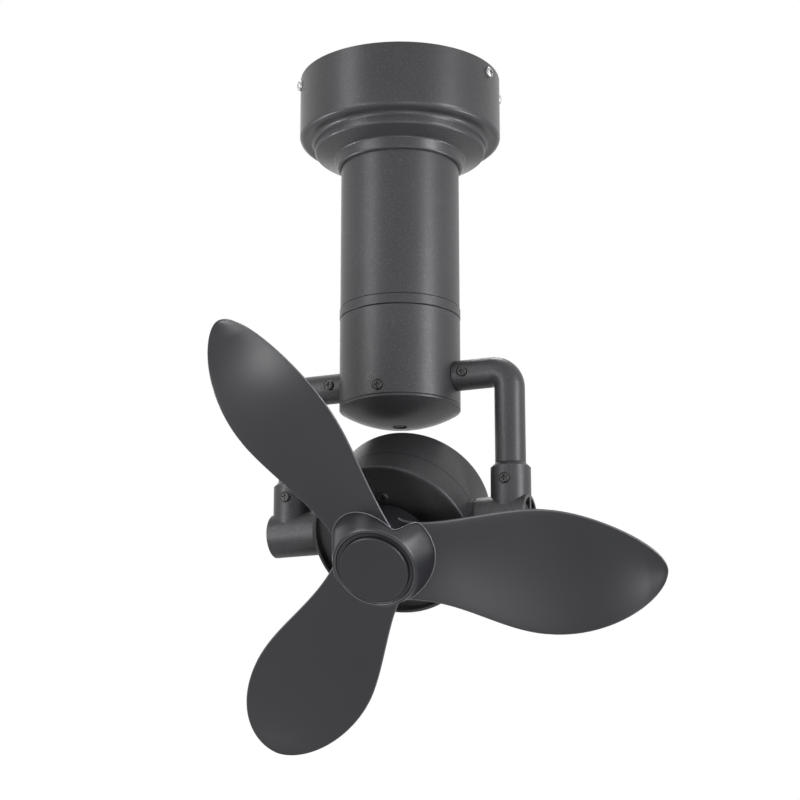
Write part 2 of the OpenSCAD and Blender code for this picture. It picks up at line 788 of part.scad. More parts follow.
module orbit_gearbox() color(plain_steel) rotate([0, 0, pinion_turn]) translate([gear_centre, 0, plate_top])
    difference() {
        union() {
            cylinder(d = gearbox_d, h = gearbox_h);
            translate([0, 0, -drive_plate_t]) cylinder(d = gearbox_nose_d, h = drive_plate_t + eps);
        }
        translate([0, 0, -drive_plate_t - eps])
            cylinder(d = pinion_shaft_d + 2 * shaft_play, h = drive_plate_t + pinion_shaft_in);
    }

module orbit_motor() color(dark_steel) rotate([0, 0, pinion_turn])
    translate([gear_centre, 0, plate_top + gearbox_h]) difference() {
        union() {
            cylinder(d = gearbox_d - 1, h = orbit_motor_h);
            cylinder(d = gearbox_d * 0.4, h = orbit_motor_h + 2);
        }
        around(2) translate([gearbox_d * 0.35, 0, orbit_motor_h - 1]) cylinder(d = 2, h = 2);
    }

// Cast block fixed in the foot of the tube, with three posts for the drive plate
module bearing_housing() color(aluminium) difference() {
    union() {
        translate([0, 0, ring_top]) cylinder(r = tube_ri - seat_gap, h = housing_block_top - ring_top);
        for (a = post_angles) rotate([0, 0, a]) translate([post_circle, 0, housing_block_top - eps])
            cylinder(r = post_r, h = plate_z - housing_block_top + eps);
    }
    translate([0, 0, ring_top - eps])
        cylinder(d = spindle_bearing_d - 2 * bearing_shoulder, h = housing_block_top - ring_top + 2 * eps);
    translate([0, 0, ring_top - eps])
        cylinder(d = spindle_bearing_d, h = bearing_in_bottom + spindle_bearing_w + eps);
    translate([0, 0, lower_bearing_z - circlip_t])
        cylinder(d = spindle_bearing_d + 2 * circlip_bite, h = circlip_t);
    translate([0, 0, upper_bearing_z]) cylinder(d = spindle_bearing_d, h = spindle_bearing_w + 1);
    for (a = post_angles) rotate([0, 0, a]) translate([post_circle, 0, plate_z - post_screw_in])
        cylinder(d = screw_d, h = post_screw_in + eps);
    around(ring_screw_count, pinion_turn) translate([ring_screw_circle, 0, ring_top - eps])
        cylinder(d = screw_d, h = ring_screw_l);
}

module spindle_bearing(z) color(bright_steel) translate([0, 0, z])
    ball_bearing(spindle_d + 2 * seat_gap, spindle_bearing_d - 2 * seat_gap, spindle_bearing_w);

module upper_bearing() spindle_bearing(upper_bearing_z);
module lower_bearing() spindle_bearing(lower_bearing_z);

module bearing_circlip() color(dark_steel) translate([0, 0, lower_bearing_z - circlip_t]) difference() {
    cylinder(d = spindle_bearing_d + 2 * circlip_bite - 2 * seat_gap, h = circlip_t);
    translate([0, 0, -eps]) cylinder(d = spindle_bearing_d - 2 * circlip_bite, h = circlip_t + 2 * eps);
    translate([0, -circlip_bite, -eps]) cube([spindle_bearing_d, 2 * circlip_bite, circlip_t + 2 * eps]);
}

// Ring between the two seams, screwed up into the bearing housing
module trim_ring() color(charcoal) difference() {
    rotate_extrude($fn = 180) polygon([
        [ring_in_r, ring_bottom], [ring_r - ring_bevel, ring_bottom], [ring_r, ring_bottom + ring_bevel],
        [ring_r, ring_top - 2 * ring_bevel], [ring_r - 2 * ring_bevel, ring_top], [ring_in_r, ring_top]
    ]);
    around(ring_screw_count, pinion_turn) translate([ring_screw_circle, 0, ring_bottom - eps]) {
        cylinder(d = ring_recess_d, h = ring_recess_h);
        cylinder(d = screw_d + 2 * slip_gap, h = ring_h + 1);
    }
}

module ring_screws() color(dark_steel) around(ring_screw_count, pinion_turn)
    translate([ring_screw_circle, 0, ring_bottom + ring_recess_h - eps]) mirror([0, 0, 1])
        pan_screw(ring_screw_l);

// Stationary half of the slip ring, on three legs that straddle the spindle nut
module slip_ring() color(black_plastic) translate([0, 0, plate_top]) difference() {
    union() {
        translate([0, 0, slip_leg_h]) cylinder(d = slip_ring_d, h = slip_ring_h);
        translate([0, 0, slip_leg_h]) cylinder(r = slip_rim_r, h = slip_rim_t);
        around(slip_legs, pinion_turn + 60) translate([slip_leg_r, 0, 0])
            cylinder(d = slip_leg_d, h = slip_leg_h + slip_rim_t / 2);
    }
    translate([0, 0, slip_leg_h - eps]) cylinder(d = spindle_bore + 2, h = slip_ring_h - 2);
    rotate([0, 0, pinion_turn]) translate([gear_centre, 0, 0])
        cylinder(d = gearbox_d + 2 * free_gap, h = slip_leg_h + slip_ring_h);
}

module orbit_pinion() color(plain_steel) rotate([0, 0, pinion_turn]) translate([gear_centre, 0, 0]) {
    translate([0, 0, gear_z]) rotate([0, 0, 180 + 180 / pinion_teeth])
        linear_extrude(gear_w) gear_outline(pinion_teeth);
    translate([0, 0, gear_top - eps]) cylinder(d = pinion_shaft_d, h = plate_z - gear_top + pinion_shaft_in);
}

module orbit_gear() color(plain_steel) translate([0, 0, gear_z]) difference() {
    rotate([0, 0, pinion_turn]) linear_extrude(gear_w) gear_outline(gear_teeth);
    translate([0, 0, -eps]) cylinder(d = gear_seat_d + 2 * seat_gap, h = gear_w + 2 * eps);
}

// Hollow spindle: wires pass through its bore to the fan
module spindle() color(plain_steel) on_yoke() difference() {
    rotate_extrude() polygon([
        [spindle_bore / 2, housing_top], [spindle_flange_d / 2, housing_top],
        [spindle_flange_d / 2, housing_top + spindle_flange_h],
        [spindle_collar_r, housing_top + spindle_flange_h], [spindle_collar_r, lower_bearing_z],
        [spindle_r, lower_bearing_z], [spindle_r, gear_z], [gear_seat_d / 2, gear_z],
        [gear_seat_d / 2, gear_top - slip_gap], [nut_thread_d / 2, gear_top - slip_gap],
        [nut_thread_d / 2, gear_top + nut_h + 2], [spindle_bore / 2, gear_top + nut_h + 2]
    ]);
    around(flange_bolt_count, 45) translate([flange_bolt_circle / 2, 0, housing_top - eps])
        cylinder(d = screw_d, h = spindle_flange_h + 2 * eps);
}

module spindle_nut() color(bright_steel) translate([0, 0, gear_top]) difference() {
    cylinder(d = nut_flats / cos(30), h = nut_h, $fn = 6);
    translate([0, 0, -eps]) cylinder(d = nut_thread_d + 2 * tap_gap, h = nut_h + 2 * eps);
}

// ---------- swivel housing ----------

module housing_screw_places() for (side = [-90, 90])
    facing(side, housing_r - dimple_depth, cap_seam + housing_screw_up) children();

module swivel_housing() color(charcoal) on_yoke() difference() {
    rotate_extrude($fn = 180) polygon([
        [spindle_bore / 2 + 1, housing_top], [housing_r - ring_bevel, housing_top],
        [housing_r, housing_top - ring_bevel], [housing_r, cap_seam + seam_bevel],
        [housing_r - seam_bevel, cap_seam], [housing_ri, cap_seam],
        [housing_ri, housing_top - housing_top_t], [spindle_bore / 2 + 1, housing_top - housing_top_t]
    ]);
    around(flange_bolt_count, 45) translate([flange_bolt_circle / 2, 0, housing_top - housing_top_t - eps])
        cylinder(d = screw_d + 2 * slip_gap, h = housing_top_t + 2 * eps);
    translate([0, 0, arm_z]) rotate([0, 90, 0]) cylinder(r = bar_r + seat_gap, h = 4 * housing_r, center = true);
    housing_screw_places() dimple(housing_t);
}

module spindle_bolts() color(dark_steel) on_yoke() around(flange_bolt_count, 45)
    translate([flange_bolt_circle / 2, 0, housing_top - housing_top_t]) mirror([0, 0, 1])
        pan_screw(housing_top_t + spindle_flange_h - tap_gap);

// Run capacitor of the fan motor, fixed under the top of the housing
module run_capacitor() color(black_plastic) on_yoke() translate([0, 0, housing_top - housing_top_t - cap_box.z])
    difference() {
        translate([-cap_box.x / 2, cap_box_y, 0]) cube(cap_box);
        for (side = [-1, 1]) translate([side * cap_box.x / 4, cap_box_y + cap_box.y / 2, -eps])
            cylinder(d = 3, h = 4);
    }

// One straight tube right through the housing; both arms slide over its ends
module arm_crossbar() color(plain_steel) on_yoke() difference() {
    translate([-bar_end, 0, arm_z]) rotate([0, 90, 0]) tube(2 * bar_r, 2 * (bar_r - bar_t), 2 * bar_end);
    translate([0, 0, arm_z + bar_r]) cube([bar_window.x, bar_window.y, 3 * bar_t], center = true);
    both_sides() arm_screw_place() translate([0, 0, -bar_t - arm_t]) cylinder(d = screw_d, h = 2 * bar_t);
}

// Strap across the housing that takes the housing screws and the cap screw
module cap_bridge() color(plain_steel) on_yoke() difference() {
    union() {
        intersection() {
            translate([-bridge_w / 2, -housing_r, bridge_z]) cube([bridge_w, 2 * housing_r, bridge_h]);
            translate([0, 0, bridge_z]) difference() {
                cylinder(r = housing_ri - seat_gap, h = bridge_h);
                translate([0, 0, bridge_t]) cylinder(r = housing_ri - bridge_t, h = bridge_h);
            }
        }
        translate([0, 0, bridge_z - bridge_boss_h]) cylinder(d = bridge_boss_d, h = bridge_boss_h + eps);
    }
    housing_screw_places() translate([0, 0, -2 * bridge_t - housing_t]) cylinder(d = screw_d, h = 3 * bridge_t);
    translate([0, 0, bridge_z - bridge_boss_h - eps]) cylinder(d = screw_d, h = bridge_boss_h + bridge_t + 2 * eps);
}

module bottom_cap() color(charcoal) on_yoke() difference() {
    union() {
        rotate_extrude($fn = 180) difference() {
            polygon(concat(
                [
                    [0, cap_seam], [housing_r - seam_bevel, cap_seam], [housing_r, cap_seam - seam_bevel],
                    [housing_r, cap_seam - cap_lip + seam_bevel / 2]
                ],
                arc(0, dome_centre, cap_dome_r, -90 + dome_angle, -90, 16)
            ));
            polygon(concat(
                [[0, cap_seam + eps], [spigot_r - cap_t, cap_seam + eps], [spigot_r - cap_t, cap_seam - cap_lip]],
                arc(0, dome_centre, cap_dome_r - cap_t, -90 + dome_inner_angle, -90, 16)
            ));
        }
        translate([0, 0, cap_seam - eps]) difference() {
            cylinder(r = spigot_r, h = cap_spigot_h);
            translate([0, 0, -eps]) cylinder(r = spigot_r - cap_t, h = cap_spigot_h + 2 * eps);
            cube([bridge_w + 2, 2 * housing_r, 3 * cap_spigot_h], center = true);
        }
        translate([0, 0, cap_bottom + cap_t / 2]) cylinder(d = cap_hole_d + 2 * cap_t, h = cap_sink + cap_boss_t - cap_t / 2);
    }
    translate([0, 0, cap_bottom - eps]) {
        cylinder(d = cap_hole_d, h = cap_sink + eps);
        cylinder(d1 = cap_hole_d + 2 * cap_mouth, d2 = cap_hole_d, h = cap_mouth);
        cylinder(d = screw_d + 2 * slip_gap, h = cap_sink + cap_boss_t + 1);
    }
}

module cap_screw() color(dark_steel) on_yoke() translate([0, 0, cap_bottom + cap_sink]) mirror([0, 0, 1])
    pan_screw(bridge_z + bridge_t - cap_bottom - cap_sink);

module housing_screws() color(dark_steel) on_yoke() housing_screw_places() pan_screw(housing_t + bridge_t - dimple_depth);

// ---------- arms and tees ----------

module arm_screw_place() translate([arm_screw_x, -arm_r + dimple_depth, arm_z]) rotate([90, 0, 0]) children();
module tee_screw_place() translate([arm_reach, -socket_r + dimple_depth, pivot_z + tee_screw_up])
    rotate([90, 0, 0]) children();

// The bent line of the right arm, at radius r
module arm_line(r, start, foot) {
    bend_x = arm_reach - arm_bend_r;
    bend_z = arm_z - arm_bend_r;
    translate([start, 0, arm_z]) rotate([0, 90, 0]) cylinder(r = r, h = bend_x - start);
    translate([bend_x, 0, bend_z]) rotate([90, 0, 0]) rotate_extrude(angle = 90) translate([arm_bend_r, 0]) circle(r = r);
    translate([arm_reach, 0, foot]) cylinder(r = r, h = bend_z - foot);
}

module right_arm() color(charcoal) difference() {
    arm_line(arm_r, housing_r - 4, arm_foot);
    arm_line(arm_r - arm_t, housing_r - 5, arm_foot - 1);
    translate([0, 0, cap_seam]) cylinder(r = housing_r + cope_gap, h = housing_h);
    arm_screw_place() dimple(arm_t);
    tee_screw_place() translate([0, 0, -socket_r]) cylinder(d = screw_d, h = socket_r);
}

module arm_right() on_yoke() right_arm();
module arm_left() on_yoke() mirror([1, 0, 0]) right_arm();

module arm_screws() color(dark_steel) on_yoke() both_sides() arm_screw_place()
    pan_screw(arm_t + bar_t - dimple_depth);

module right_tee() color(charcoal) difference() {
    union() {
        translate([arm_reach, 0, pivot_z]) rotate_extrude() polygon([
            [0, 0], [socket_r, 0], [socket_r, socket_h], [arm_r + seat_gap, socket_h + socket_chamfer],
            [0, socket_h + socket_chamfer]
        ]);
        translate([barrel_in, 0, pivot_z]) rotate([0, 90, 0]) rotate_extrude() polygon([
            [0, 0], [barrel_r - barrel_edge, 0], [barrel_r, barrel_edge],
            [barrel_r, barrel_l - barrel_edge], [barrel_r - barrel_edge, barrel_l], [0, barrel_l]
        ]);
    }
    translate([arm_reach, 0, pivot_z]) {
        cylinder(d = wire_way_d, h = socket_h);
        translate([0, 0, socket_floor]) cylinder(r = arm_r + seat_gap, h = socket_h + socket_chamfer);
    }
    translate([barrel_in - eps, 0, pivot_z]) rotate([0, 90, 0]) {
        cylinder(r = bush_r, h = barrel_l);
        translate([0, 0, barrel_l - barrel_recess]) cylinder(r = recess_r, h = barrel_recess + 2 * eps);
    }
    tee_screw_place() dimple(socket_r - arm_r);
}

module tee_right() on_yoke() right_tee();
module tee_left() on_yoke() mirror([1, 0, 0]) right_tee();

module tee_screws() color(dark_steel) on_yoke() both_sides() tee_screw_place()
    pan_screw(socket_r - arm_r + arm_t - dimple_depth);

module right_bush() color(brass) translate([barrel_in, 0, pivot_z]) rotate([0, 90, 0])
    tube(2 * (bush_r - seat_gap), pivot_d, barrel_l - barrel_recess);

module pivot_bush_right() on_yoke() right_bush();
module pivot_bush_left() on_yoke() mirror([1, 0, 0]) right_bush();

// ---------- fan motor ----------

// Points outward along +X, from the fan axis
module along_x(x) translate([x, 0, 0]) rotate([0, 90, 0]) children();

// The pads on the drum's sides that the tilt stubs are clamped in
module pivot_pads() both_sides() along_x(pad_in) cylinder(r = pad_r, h = pad_out - pad_in);
module pivot_bores() both_sides() along_x(pad_in - 1) cylinder(d = pivot_d, h = pad_out);

module rear_shell() color(charcoal) on_fan() difference() {
    union() {
        rotate_extrude($fn = 180) polygon(concat(
            [[drum_ri, seam_rear], [drum_r, seam_rear]],
            arc(drum_r - drum_corner, -drum_rear + drum_corner, drum_corner, 0, -90),
            [[0, -drum_rear], [0, -drum_rear + shell_t]],
            reversed(arc(drum_r - drum_corner, -drum_rear + drum_corner, drum_corner - shell_t, 0, -90))
        ));
        translate([0, 0, -drum_rear + shell_t - eps])
            cylinder(r = motor_boss_r, h = rear_bearing_s + motor_bearing_w + drum_rear - shell_t);
        around(bolt_count, bolt_turn) translate([bolt_circle / 2, 0, -drum_rear + shell_t - eps])
            cylinder(r = screw_d, h = stator_rear + drum_rear - shell_t + eps);
        intersection() {
            pivot_pads();
            translate([0, 0, seam_rear - pad_r - 1]) cylinder(r = drum_d, h = pad_r + 1);
        }
    }
    translate([0, 0, rear_bearing_s]) cylinder(d = motor_bearing_d, h = motor_bearing_w + 1);
    translate([0, 0, rear_bearing_s - 1]) cylinder(d = motor_bearing_d - 6, h = 2);
    pivot_bores();
    around(bolt_count, bolt_turn) translate([bolt_circle / 2, 0, 0]) {
        translate([0, 0, -drum_rear - eps]) cylinder(d = screw_d, h = drum_rear);
        translate([0, 0, -drum_rear - eps]) cylinder(d = dimple_d, h = dimple_depth + eps);
    }
}

module front_shell() color(charcoal) on_fan() difference() {
    union() {
        rotate_extrude($fn = 180) polygon(concat(
            [[drum_ri, seam_front], [drum_r, seam_front]],
            arc(drum_r - rim_corner, drum_front - rim_corner, rim_corner, 0, 90, 6),
            [
                [drum_ri - 1, drum_front], [drum_ri - 1, face_front], [shaft_d, face_front],
                [shaft_d, face_back], [drum_ri, face_back]
            ]
        ));
        intersection() {
            pivot_pads();
            translate([0, 0, seam_front]) cylinder(r = drum_d, h = pad_r + 1);
        }
    }
    pivot_bores();
    around(face_screw_count, face_screw_turn) translate([face_screw_r, 0, face_back - eps])
        cylinder(d = screw_d, h = shell_t + 2 * eps);
}

// End bell: carries the front bearing and clamps the stator to the rear shell
module front_bell() color(aluminium) on_fan() difference() {
    union() {
        translate([0, 0, face_back - bell_t]) cylinder(d = stator_d, h = bell_t);
        translate([0, 0, stator_front])
            tube(stator_d, stator_d - 2 * bell_skirt, face_back - bell_t - stator_front + eps);
        translate([0, 0, front_bearing_s]) cylinder(r = motor_boss_r, h = motor_bearing_w);
    }
    translate([0, 0, front_bearing_s - eps]) cylinder(d = motor_bearing_d, h = motor_bearing_w + 2 * eps);
    around(bolt_count, bolt_turn) translate([bolt_circle / 2, 0, stator_front - eps])
        cylinder(d = screw_d, h = bell_bolt_in);
    around(face_screw_count, face_screw_turn) translate([face_screw_r, 0, face_back - bell_t - eps])
        cylinder(d = screw_d, h = bell_t + 2 * eps);
}

module face_screws() color(dark_steel) on_fan() around(face_screw_count, face_screw_turn)
    translate([face_screw_r, 0, face_front]) pan_screw(shell_t + bell_t);

// Long bolts from the rear shell through the stator into the end bell
module through_bolts() color(dark_steel) on_fan() around(bolt_count, bolt_turn)
    translate([bolt_circle / 2, 0, -drum_rear + dimple_depth]) mirror([0, 0, 1])
        pan_screw(drum_rear - dimple_depth + stator_front + bell_bolt_in - 1);

module right_stub() color(plain_steel) difference() {
    union() {
        along_x(pad_in - stub_flange_t) cylinder(r = stub_flange_r, h = stub_flange_t);
        along_x(pad_in - eps) cylinder(r = pivot_d / 2 - shaft_play, h = bush_out - pad_in + eps);
    }
    along_x(bush_out - stub_thread_l) cylinder(d = stub_bore_d, h = stub_thread_l + 1);
}

module pivot_stub_right() on_fan() right_stub();
module pivot_stub_left() on_fan() mirror([1, 0, 0]) right_stub();

module friction_washers() color(black_plastic) on_fan() both_sides() {
    along_x(pad_out) tube(2 * (barrel_r - barrel_edge), pivot_d, washer_t);
    along_x(bush_out + slip_gap) tube(2 * pivot_head_r, stub_bore_d, outer_washer_t);
}

module pivot_bolts() color(dark_steel) on_fan() both_sides() along_x(bush_out + slip_gap + outer_washer_t)
    difference() {
        union() {
            rotate_extrude() polygon(concat(
                [[0, 0], [pivot_head_r, 0]],
                arc(pivot_head_r - pivot_head_edge, pivot_head_h - pivot_head_edge, pivot_head_edge, 0, 90, 5),
                [[0, pivot_head_h]]
            ));
            translate([0, 0, -stub_thread_l + 1]) cylinder(d = stub_bore_d - 2 * tap_gap, h = stub_thread_l);
        }
        translate([0, 0, pivot_head_h / 2]) cylinder(d = pivot_head_r, h = pivot_head_h, $fn = 6);
    }

// Outline of one stator slot, or of the winding that fills it when inset
module stator_slot(inset) {
    pitch = 360 / stator_slots;
    inner = rotor_d / 2 + air_gap + slot_lip;
    outer = stator_d / 2 - stator_yoke;
    w_in = inner * sin(pitch) * 0.5;
    w_out = outer * sin(pitch) * 0.55;
    polygon([
        [inner + inset, -w_in / 2 + inset], [outer - inset, -w_out / 2 + inset],
        [outer - inset, w_out / 2 - inset], [inner + inset, w_in / 2 - inset]
    ]);
}

module stator_core() color(plain_steel) on_fan() translate([0, 0, stator_rear]) linear_extrude(stator_l)
    difference() {
        circle(d = stator_d);
        circle(r = rotor_d / 2 + air_gap);
        for (i = [0 : stator_slots - 1]) rotate(i * 360 / stator_slots) {
            stator_slot(0);
            translate([rotor_d / 2, -slot_mouth / 2]) square([slot_lip + 2 * air_gap, slot_mouth]);
        }
        for (i = [0 : bolt_count - 1]) rotate(bolt_turn + i * 360 / bolt_count)
            translate([bolt_circle / 2, 0]) circle(d = screw_d);
    }

module stator_windings() color(copper) on_fan() {
    around(stator_slots) translate([0, 0, stator_rear]) linear_extrude(stator_l) stator_slot(winding_gap);
    for (z = [stator_rear - winding_h, stator_front]) translate([0, 0, z]) tube(
        stator_d - 2 * stator_yoke, rotor_d + 2 * air_gap + 2 * slot_lip, winding_h
    );
}

module motor_bearing(s) color(bright_steel) on_fan() translate([0, 0, s])
    ball_bearing(shaft_d + 2 * shaft_play, motor_bearing_d - 2 * seat_gap, motor_bearing_w);
module rear_bearing() motor_bearing(rear_bearing_s);
module front_bearing() motor_bearing(front_bearing_s);

// ---------- propeller ----------

module motor_shaft() color(bright_steel) on_propeller() translate([0, 0, rear_bearing_s])
    cylinder(d = shaft_d, h = shaft_end - rear_bearing_s);

module rotor() color(plain_steel) on_propeller() difference() {
    union() {
        translate([0, 0, stator_rear]) cylinder(d = rotor_d, h = stator_l);
        translate([0, 0, stator_rear - rotor_ring_h]) cylinder(d = rotor_d - 4, h = stator_l + 2 * rotor_ring_h);
    }
    translate([0, 0, stator_rear - rotor_ring_h - eps]) cylinder(d = shaft_d + 2 * seat_gap, h = 2 * stator_l);
    for (z = [stator_rear - rotor_ring_h - eps, stator_front + eps]) translate([0, 0, z])
        tube(rotor_d - 16, shaft_d + 8, rotor_ring_h);
}

// Plan of the blade: its leading and trailing edge as two curves each, joined
// where the blade is widest; t runs from 0 at the hub through 1 to 2 at the tip
function lead_edge(t) = t < 1
    ? bezier([
        [root_r, lead_root], [root_r, lead_root] + lead_pull,
        [belly_r - belly_pull_in[0], lead_w], [belly_r, lead_w]
    ], t)
    : bezier([
        [belly_r, lead_w], [belly_r + belly_pull_out[0], lead_w],
        [blade_tip_r, tip_shift + tip_round[0]], [blade_tip_r, tip_shift]
    ], t - 1);
function trail_edge(t) = t < 1
    ? bezier([
        [root_r, -trail_root], [root_r, -trail_root] + trail_pull,
        [belly_r - belly_pull_in[1], -trail_w], [belly_r, -trail_w]
    ], t)
    : bezier([
        [belly_r, -trail_w], [belly_r + belly_pull_out[1], -trail_w],
        [blade_tip_r, tip_shift - tip_round[1]], [blade_tip_r, tip_shift]
    ], t - 1);

// Height of the blade's surface above the tilt axis: its middle line, less the
// pitch across the blade, less the hollow in the middle of the chord
function blade_share(x) = max(0, (x - root_r) / (blade_tip_r - root_r));
function blade_mid(x) = bezier([mid_root, mid_inner, mid_outer, mid_tip], blade_share(x));
function blade_slope(x) = tan(pitch_root) + (tan(pitch_tip) - tan(pitch_root)) * blade_share(x);
function blade_point(lead, trail, v, side, t) = let (
    p = lead + (trail - lead) * v,
    across = 4 * v * (1 - v),
    fade = min(1, norm(trail - lead) / lead_w),
    thick = blade_edge_t + (blade_t_root + (blade_t_tip - blade_t_root) * t / 2 - blade_edge_t)
        * sqrt(across) * fade
) [p.x, p.y, blade_mid(p.x) - p.y * blade_slope(p.x) - blade_camber * across * fade + side * thick / 2];
function blade_ring(lead, trail, t) = [
    for (i = [0 : chord_steps]) blade_point(lead, trail, (1 - cos(180 * i / chord_steps)) / 2, 1, t),
    for (i = [chord_steps : -1 : 0]) blade_point(lead, trail, (1 - cos(180 * i / chord_steps)) / 2, -1, t)
];

// Twisted blade lofted through its rings, from inside the hub to the tip
module blade() {
    rings = concat(
        [blade_ring(root_bury, [root_bury.x, -root_bury.y], 0)],
        [for (i = [0 : half_rings]) blade_ring(lead_edge(i / half_rings), trail_edge(i / half_rings), i / half_rings)],
        [for (i = [1 : half_rings]) let (t = 1 + tip_stop * sin(90 * i / half_rings))
            blade_ring(lead_edge(t), trail_edge(t), t)]
    );
    n = len(rings[0]);
    last = (len(rings) - 1) * n;
    polyhedron(
        points = [for (ring = rings) each ring],
        faces = concat(
            [for (k = [0 : len(rings) - 2], i = [0 : n - 1]) each [
                [k * n + i, (k + 1) * n + i, k * n + (i + 1) % n],
                [k * n + (i + 1) % n, (k + 1) * n + i, (k + 1) * n + (i + 1) % n]
            ]],
            [for (i = [0 : chord_steps - 1]) each [
                [i, i + 1, n - 1 - i], [i + 1, n - 2 - i, n - 1 - i]
            ]],
            [for (i = [0 : chord_steps - 1]) each [
                [last + i, last + n - 1 - i, last + i + 1],
                [last + i + 1, last + n - 1 - i, last + n - 2 - i]
            ]]
        )
    );
}

// Domed shoulder trimmed to one round lobe at each blade's root
module hub_lobes() intersection() {
    rotate_extrude($fn = 180) polygon(concat(
        [[0, lobe_rear], [lobe_reach, lobe_rear]],
        [for (p = arc(0, 0, 1, 0, 90, 16))
            [lobe_reach - shoulder_w * (1 - p.x), hub_front - shoulder_fall * (1 - p.y)]],
        [[0, hub_front]]
    ));
    translate([0, 0, lobe_rear - 1]) linear_extrude(hub_front) for (i = [0 : blade_count - 1])
        rotate(i * 360 / blade_count + lobe_skew) translate([lobe_reach - lobe_r, 0]) circle(r = lobe_r, $fn = 120);
}

module propeller() color(blade_grey) on_propeller() difference() {
    union() {
        around(blade_count) blade();
        hub_lobes();
        rotate_extrude($fn = 180) polygon(concat(
            [[0, hub_rear], [core_r, hub_rear]],
            arc(core_r - core_edge, hub_front - core_edge, core_edge, 0, 90, 4),
            [[0, hub_front]]
        ));
    }
    difference() {
        translate([0, 0, hub_rear - 1]) cylinder(r = core_r - hub_wall, h = groove_floor - web_t - hub_rear + 1);
        translate([0, 0, boss_rear]) cylinder(r = boss_r, h = hub_front);
        around(rib_count) translate([0, -rib_t / 2, groove_floor - web_t - rib_h]) cube([core_r, rib_t, rib_h + 1]);
    }
    translate([0, 0, groove_floor]) cylinder(
        d1 = groove_d - 2 * groove_slant, d2 = groove_d, h = hub_front - groove_floor + eps
    );
    cylinder(d = shaft_d + 2 * tap_gap, h = hub_front);
    translate([0, 0, boss_rear - 1]) cylinder(r = insert_r, h = groove_floor - web_t - boss_rear + 1);
}

// Metal bush moulded into the hub
module hub_insert() color(brass) on_propeller() translate([0, 0, boss_rear])
    tube(2 * (insert_r - seat_gap), shaft_d + 2 * seat_gap, groove_floor - web_t - boss_rear);

module propeller_nut() color(bright_steel) on_propeller() translate([0, 0, groove_floor]) difference() {
    cylinder(d = prop_nut_flats / cos(30), h = prop_nut_h, $fn = 6);
    translate([0, 0, -eps]) cylinder(d = shaft_d + 2 * tap_gap, h = prop_nut_h + 2 * eps);
}

module hub_cap() color(blade_grey) on_propeller() difference() {
    rotate_extrude($fn = 120) polygon(concat(
        [[0, groove_floor], [hub_cap_d / 2, groove_floor]],
        arc(hub_cap_d / 2 - cap_edge, hub_front + hub_cap_proud - cap_edge, cap_edge, 0, 90, 5),
        [[0, hub_front + hub_cap_proud]]
    ));
    translate([0, 0, groove_floor - eps])
        cylinder(d = hub_cap_d - 2 * cap_wall, h = hub_front + hub_cap_proud - cap_wall - groove_floor);
}

ceiling_bracket();
bracket_screws();
terminal_block();
receiver_box();
canopy();
canopy_screws();
tube_flange();
flange_screws();
upper_tube();
drive_plate();
drive_screws();
orbit_gearbox();
orbit_motor();
bearing_housing();
upper_bearing();
lower_bearing();
bearing_circlip();
trim_ring();
ring_screws();
slip_ring();
orbit_pinion();
orbit_gear();
spindle();
spindle_nut();
swivel_housing();
spindle_bolts();
run_capacitor();
arm_crossbar();
cap_bridge();
bottom_cap();
cap_screw();
housing_screws();
arm_left();
arm_right();
arm_screws();
tee_left();
tee_right();
tee_screws();
pivot_bush_left();
pivot_bush_right();
rear_shell();
front_shell();
front_bell();
face_screws();
through_bolts();
pivot_stub_left();
pivot_stub_right();
friction_washers();
pivot_bolts();
stator_core();
stator_windings();
rear_bearing();
front_bearing();
motor_shaft();
rotor();
propeller();
hub_insert();
propeller_nut();
hub_cap();
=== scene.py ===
import json
import math

import bmesh
import bpy
from mathutils import Matrix, Vector


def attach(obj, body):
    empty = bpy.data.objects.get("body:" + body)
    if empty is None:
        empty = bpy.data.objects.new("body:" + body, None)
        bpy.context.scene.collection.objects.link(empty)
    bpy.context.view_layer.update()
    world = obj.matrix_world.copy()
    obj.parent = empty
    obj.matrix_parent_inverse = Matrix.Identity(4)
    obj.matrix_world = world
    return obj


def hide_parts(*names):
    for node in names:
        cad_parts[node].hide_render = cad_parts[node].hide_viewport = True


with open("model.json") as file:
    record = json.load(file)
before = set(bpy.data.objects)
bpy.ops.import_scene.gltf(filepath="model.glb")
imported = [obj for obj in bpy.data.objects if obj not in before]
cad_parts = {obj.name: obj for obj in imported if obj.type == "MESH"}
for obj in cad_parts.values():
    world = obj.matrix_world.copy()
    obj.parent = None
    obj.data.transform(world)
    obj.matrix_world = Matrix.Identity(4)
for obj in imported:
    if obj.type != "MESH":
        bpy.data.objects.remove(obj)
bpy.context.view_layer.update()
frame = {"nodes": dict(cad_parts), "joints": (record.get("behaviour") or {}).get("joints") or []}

bl_info = {
    "name": "Orbital Ceiling Fan",
    "version": (1, 0, 0),
    "blender": (4, 5, 0),
    "location": "View3D > Sidebar > Fan",
    "description": "Finishes and looks for an orbital ceiling fan on its packed frame",
    "category": "Object",
}

MM = 0.001
JOINTS = {joint["name"]: joint for joint in frame["joints"]}


# ---------- settings ----------

def colour(name, description, default):
    return bpy.props.FloatVectorProperty(
        name=name, description=description, default=default, size=3, min=0, max=1, subtype="COLOR"
    )


def share(name, description, default):
    return bpy.props.FloatProperty(
        name=name, description=description, default=default, min=0, max=1, subtype="FACTOR"
    )


def length(name, description, default):
    return bpy.props.FloatProperty(
        name=name, description=description, default=default, min=0, unit="LENGTH", subtype="DISTANCE"
    )


def angle(name, description, degrees):
    return bpy.props.FloatProperty(
        name=name, description=description, default=math.radians(degrees), unit="ROTATION", subtype="ANGLE"
    )


def watts(name, description, default):
    return bpy.props.FloatProperty(
        name=name, description=description, default=default, min=0, unit="POWER", subtype="POWER"
    )


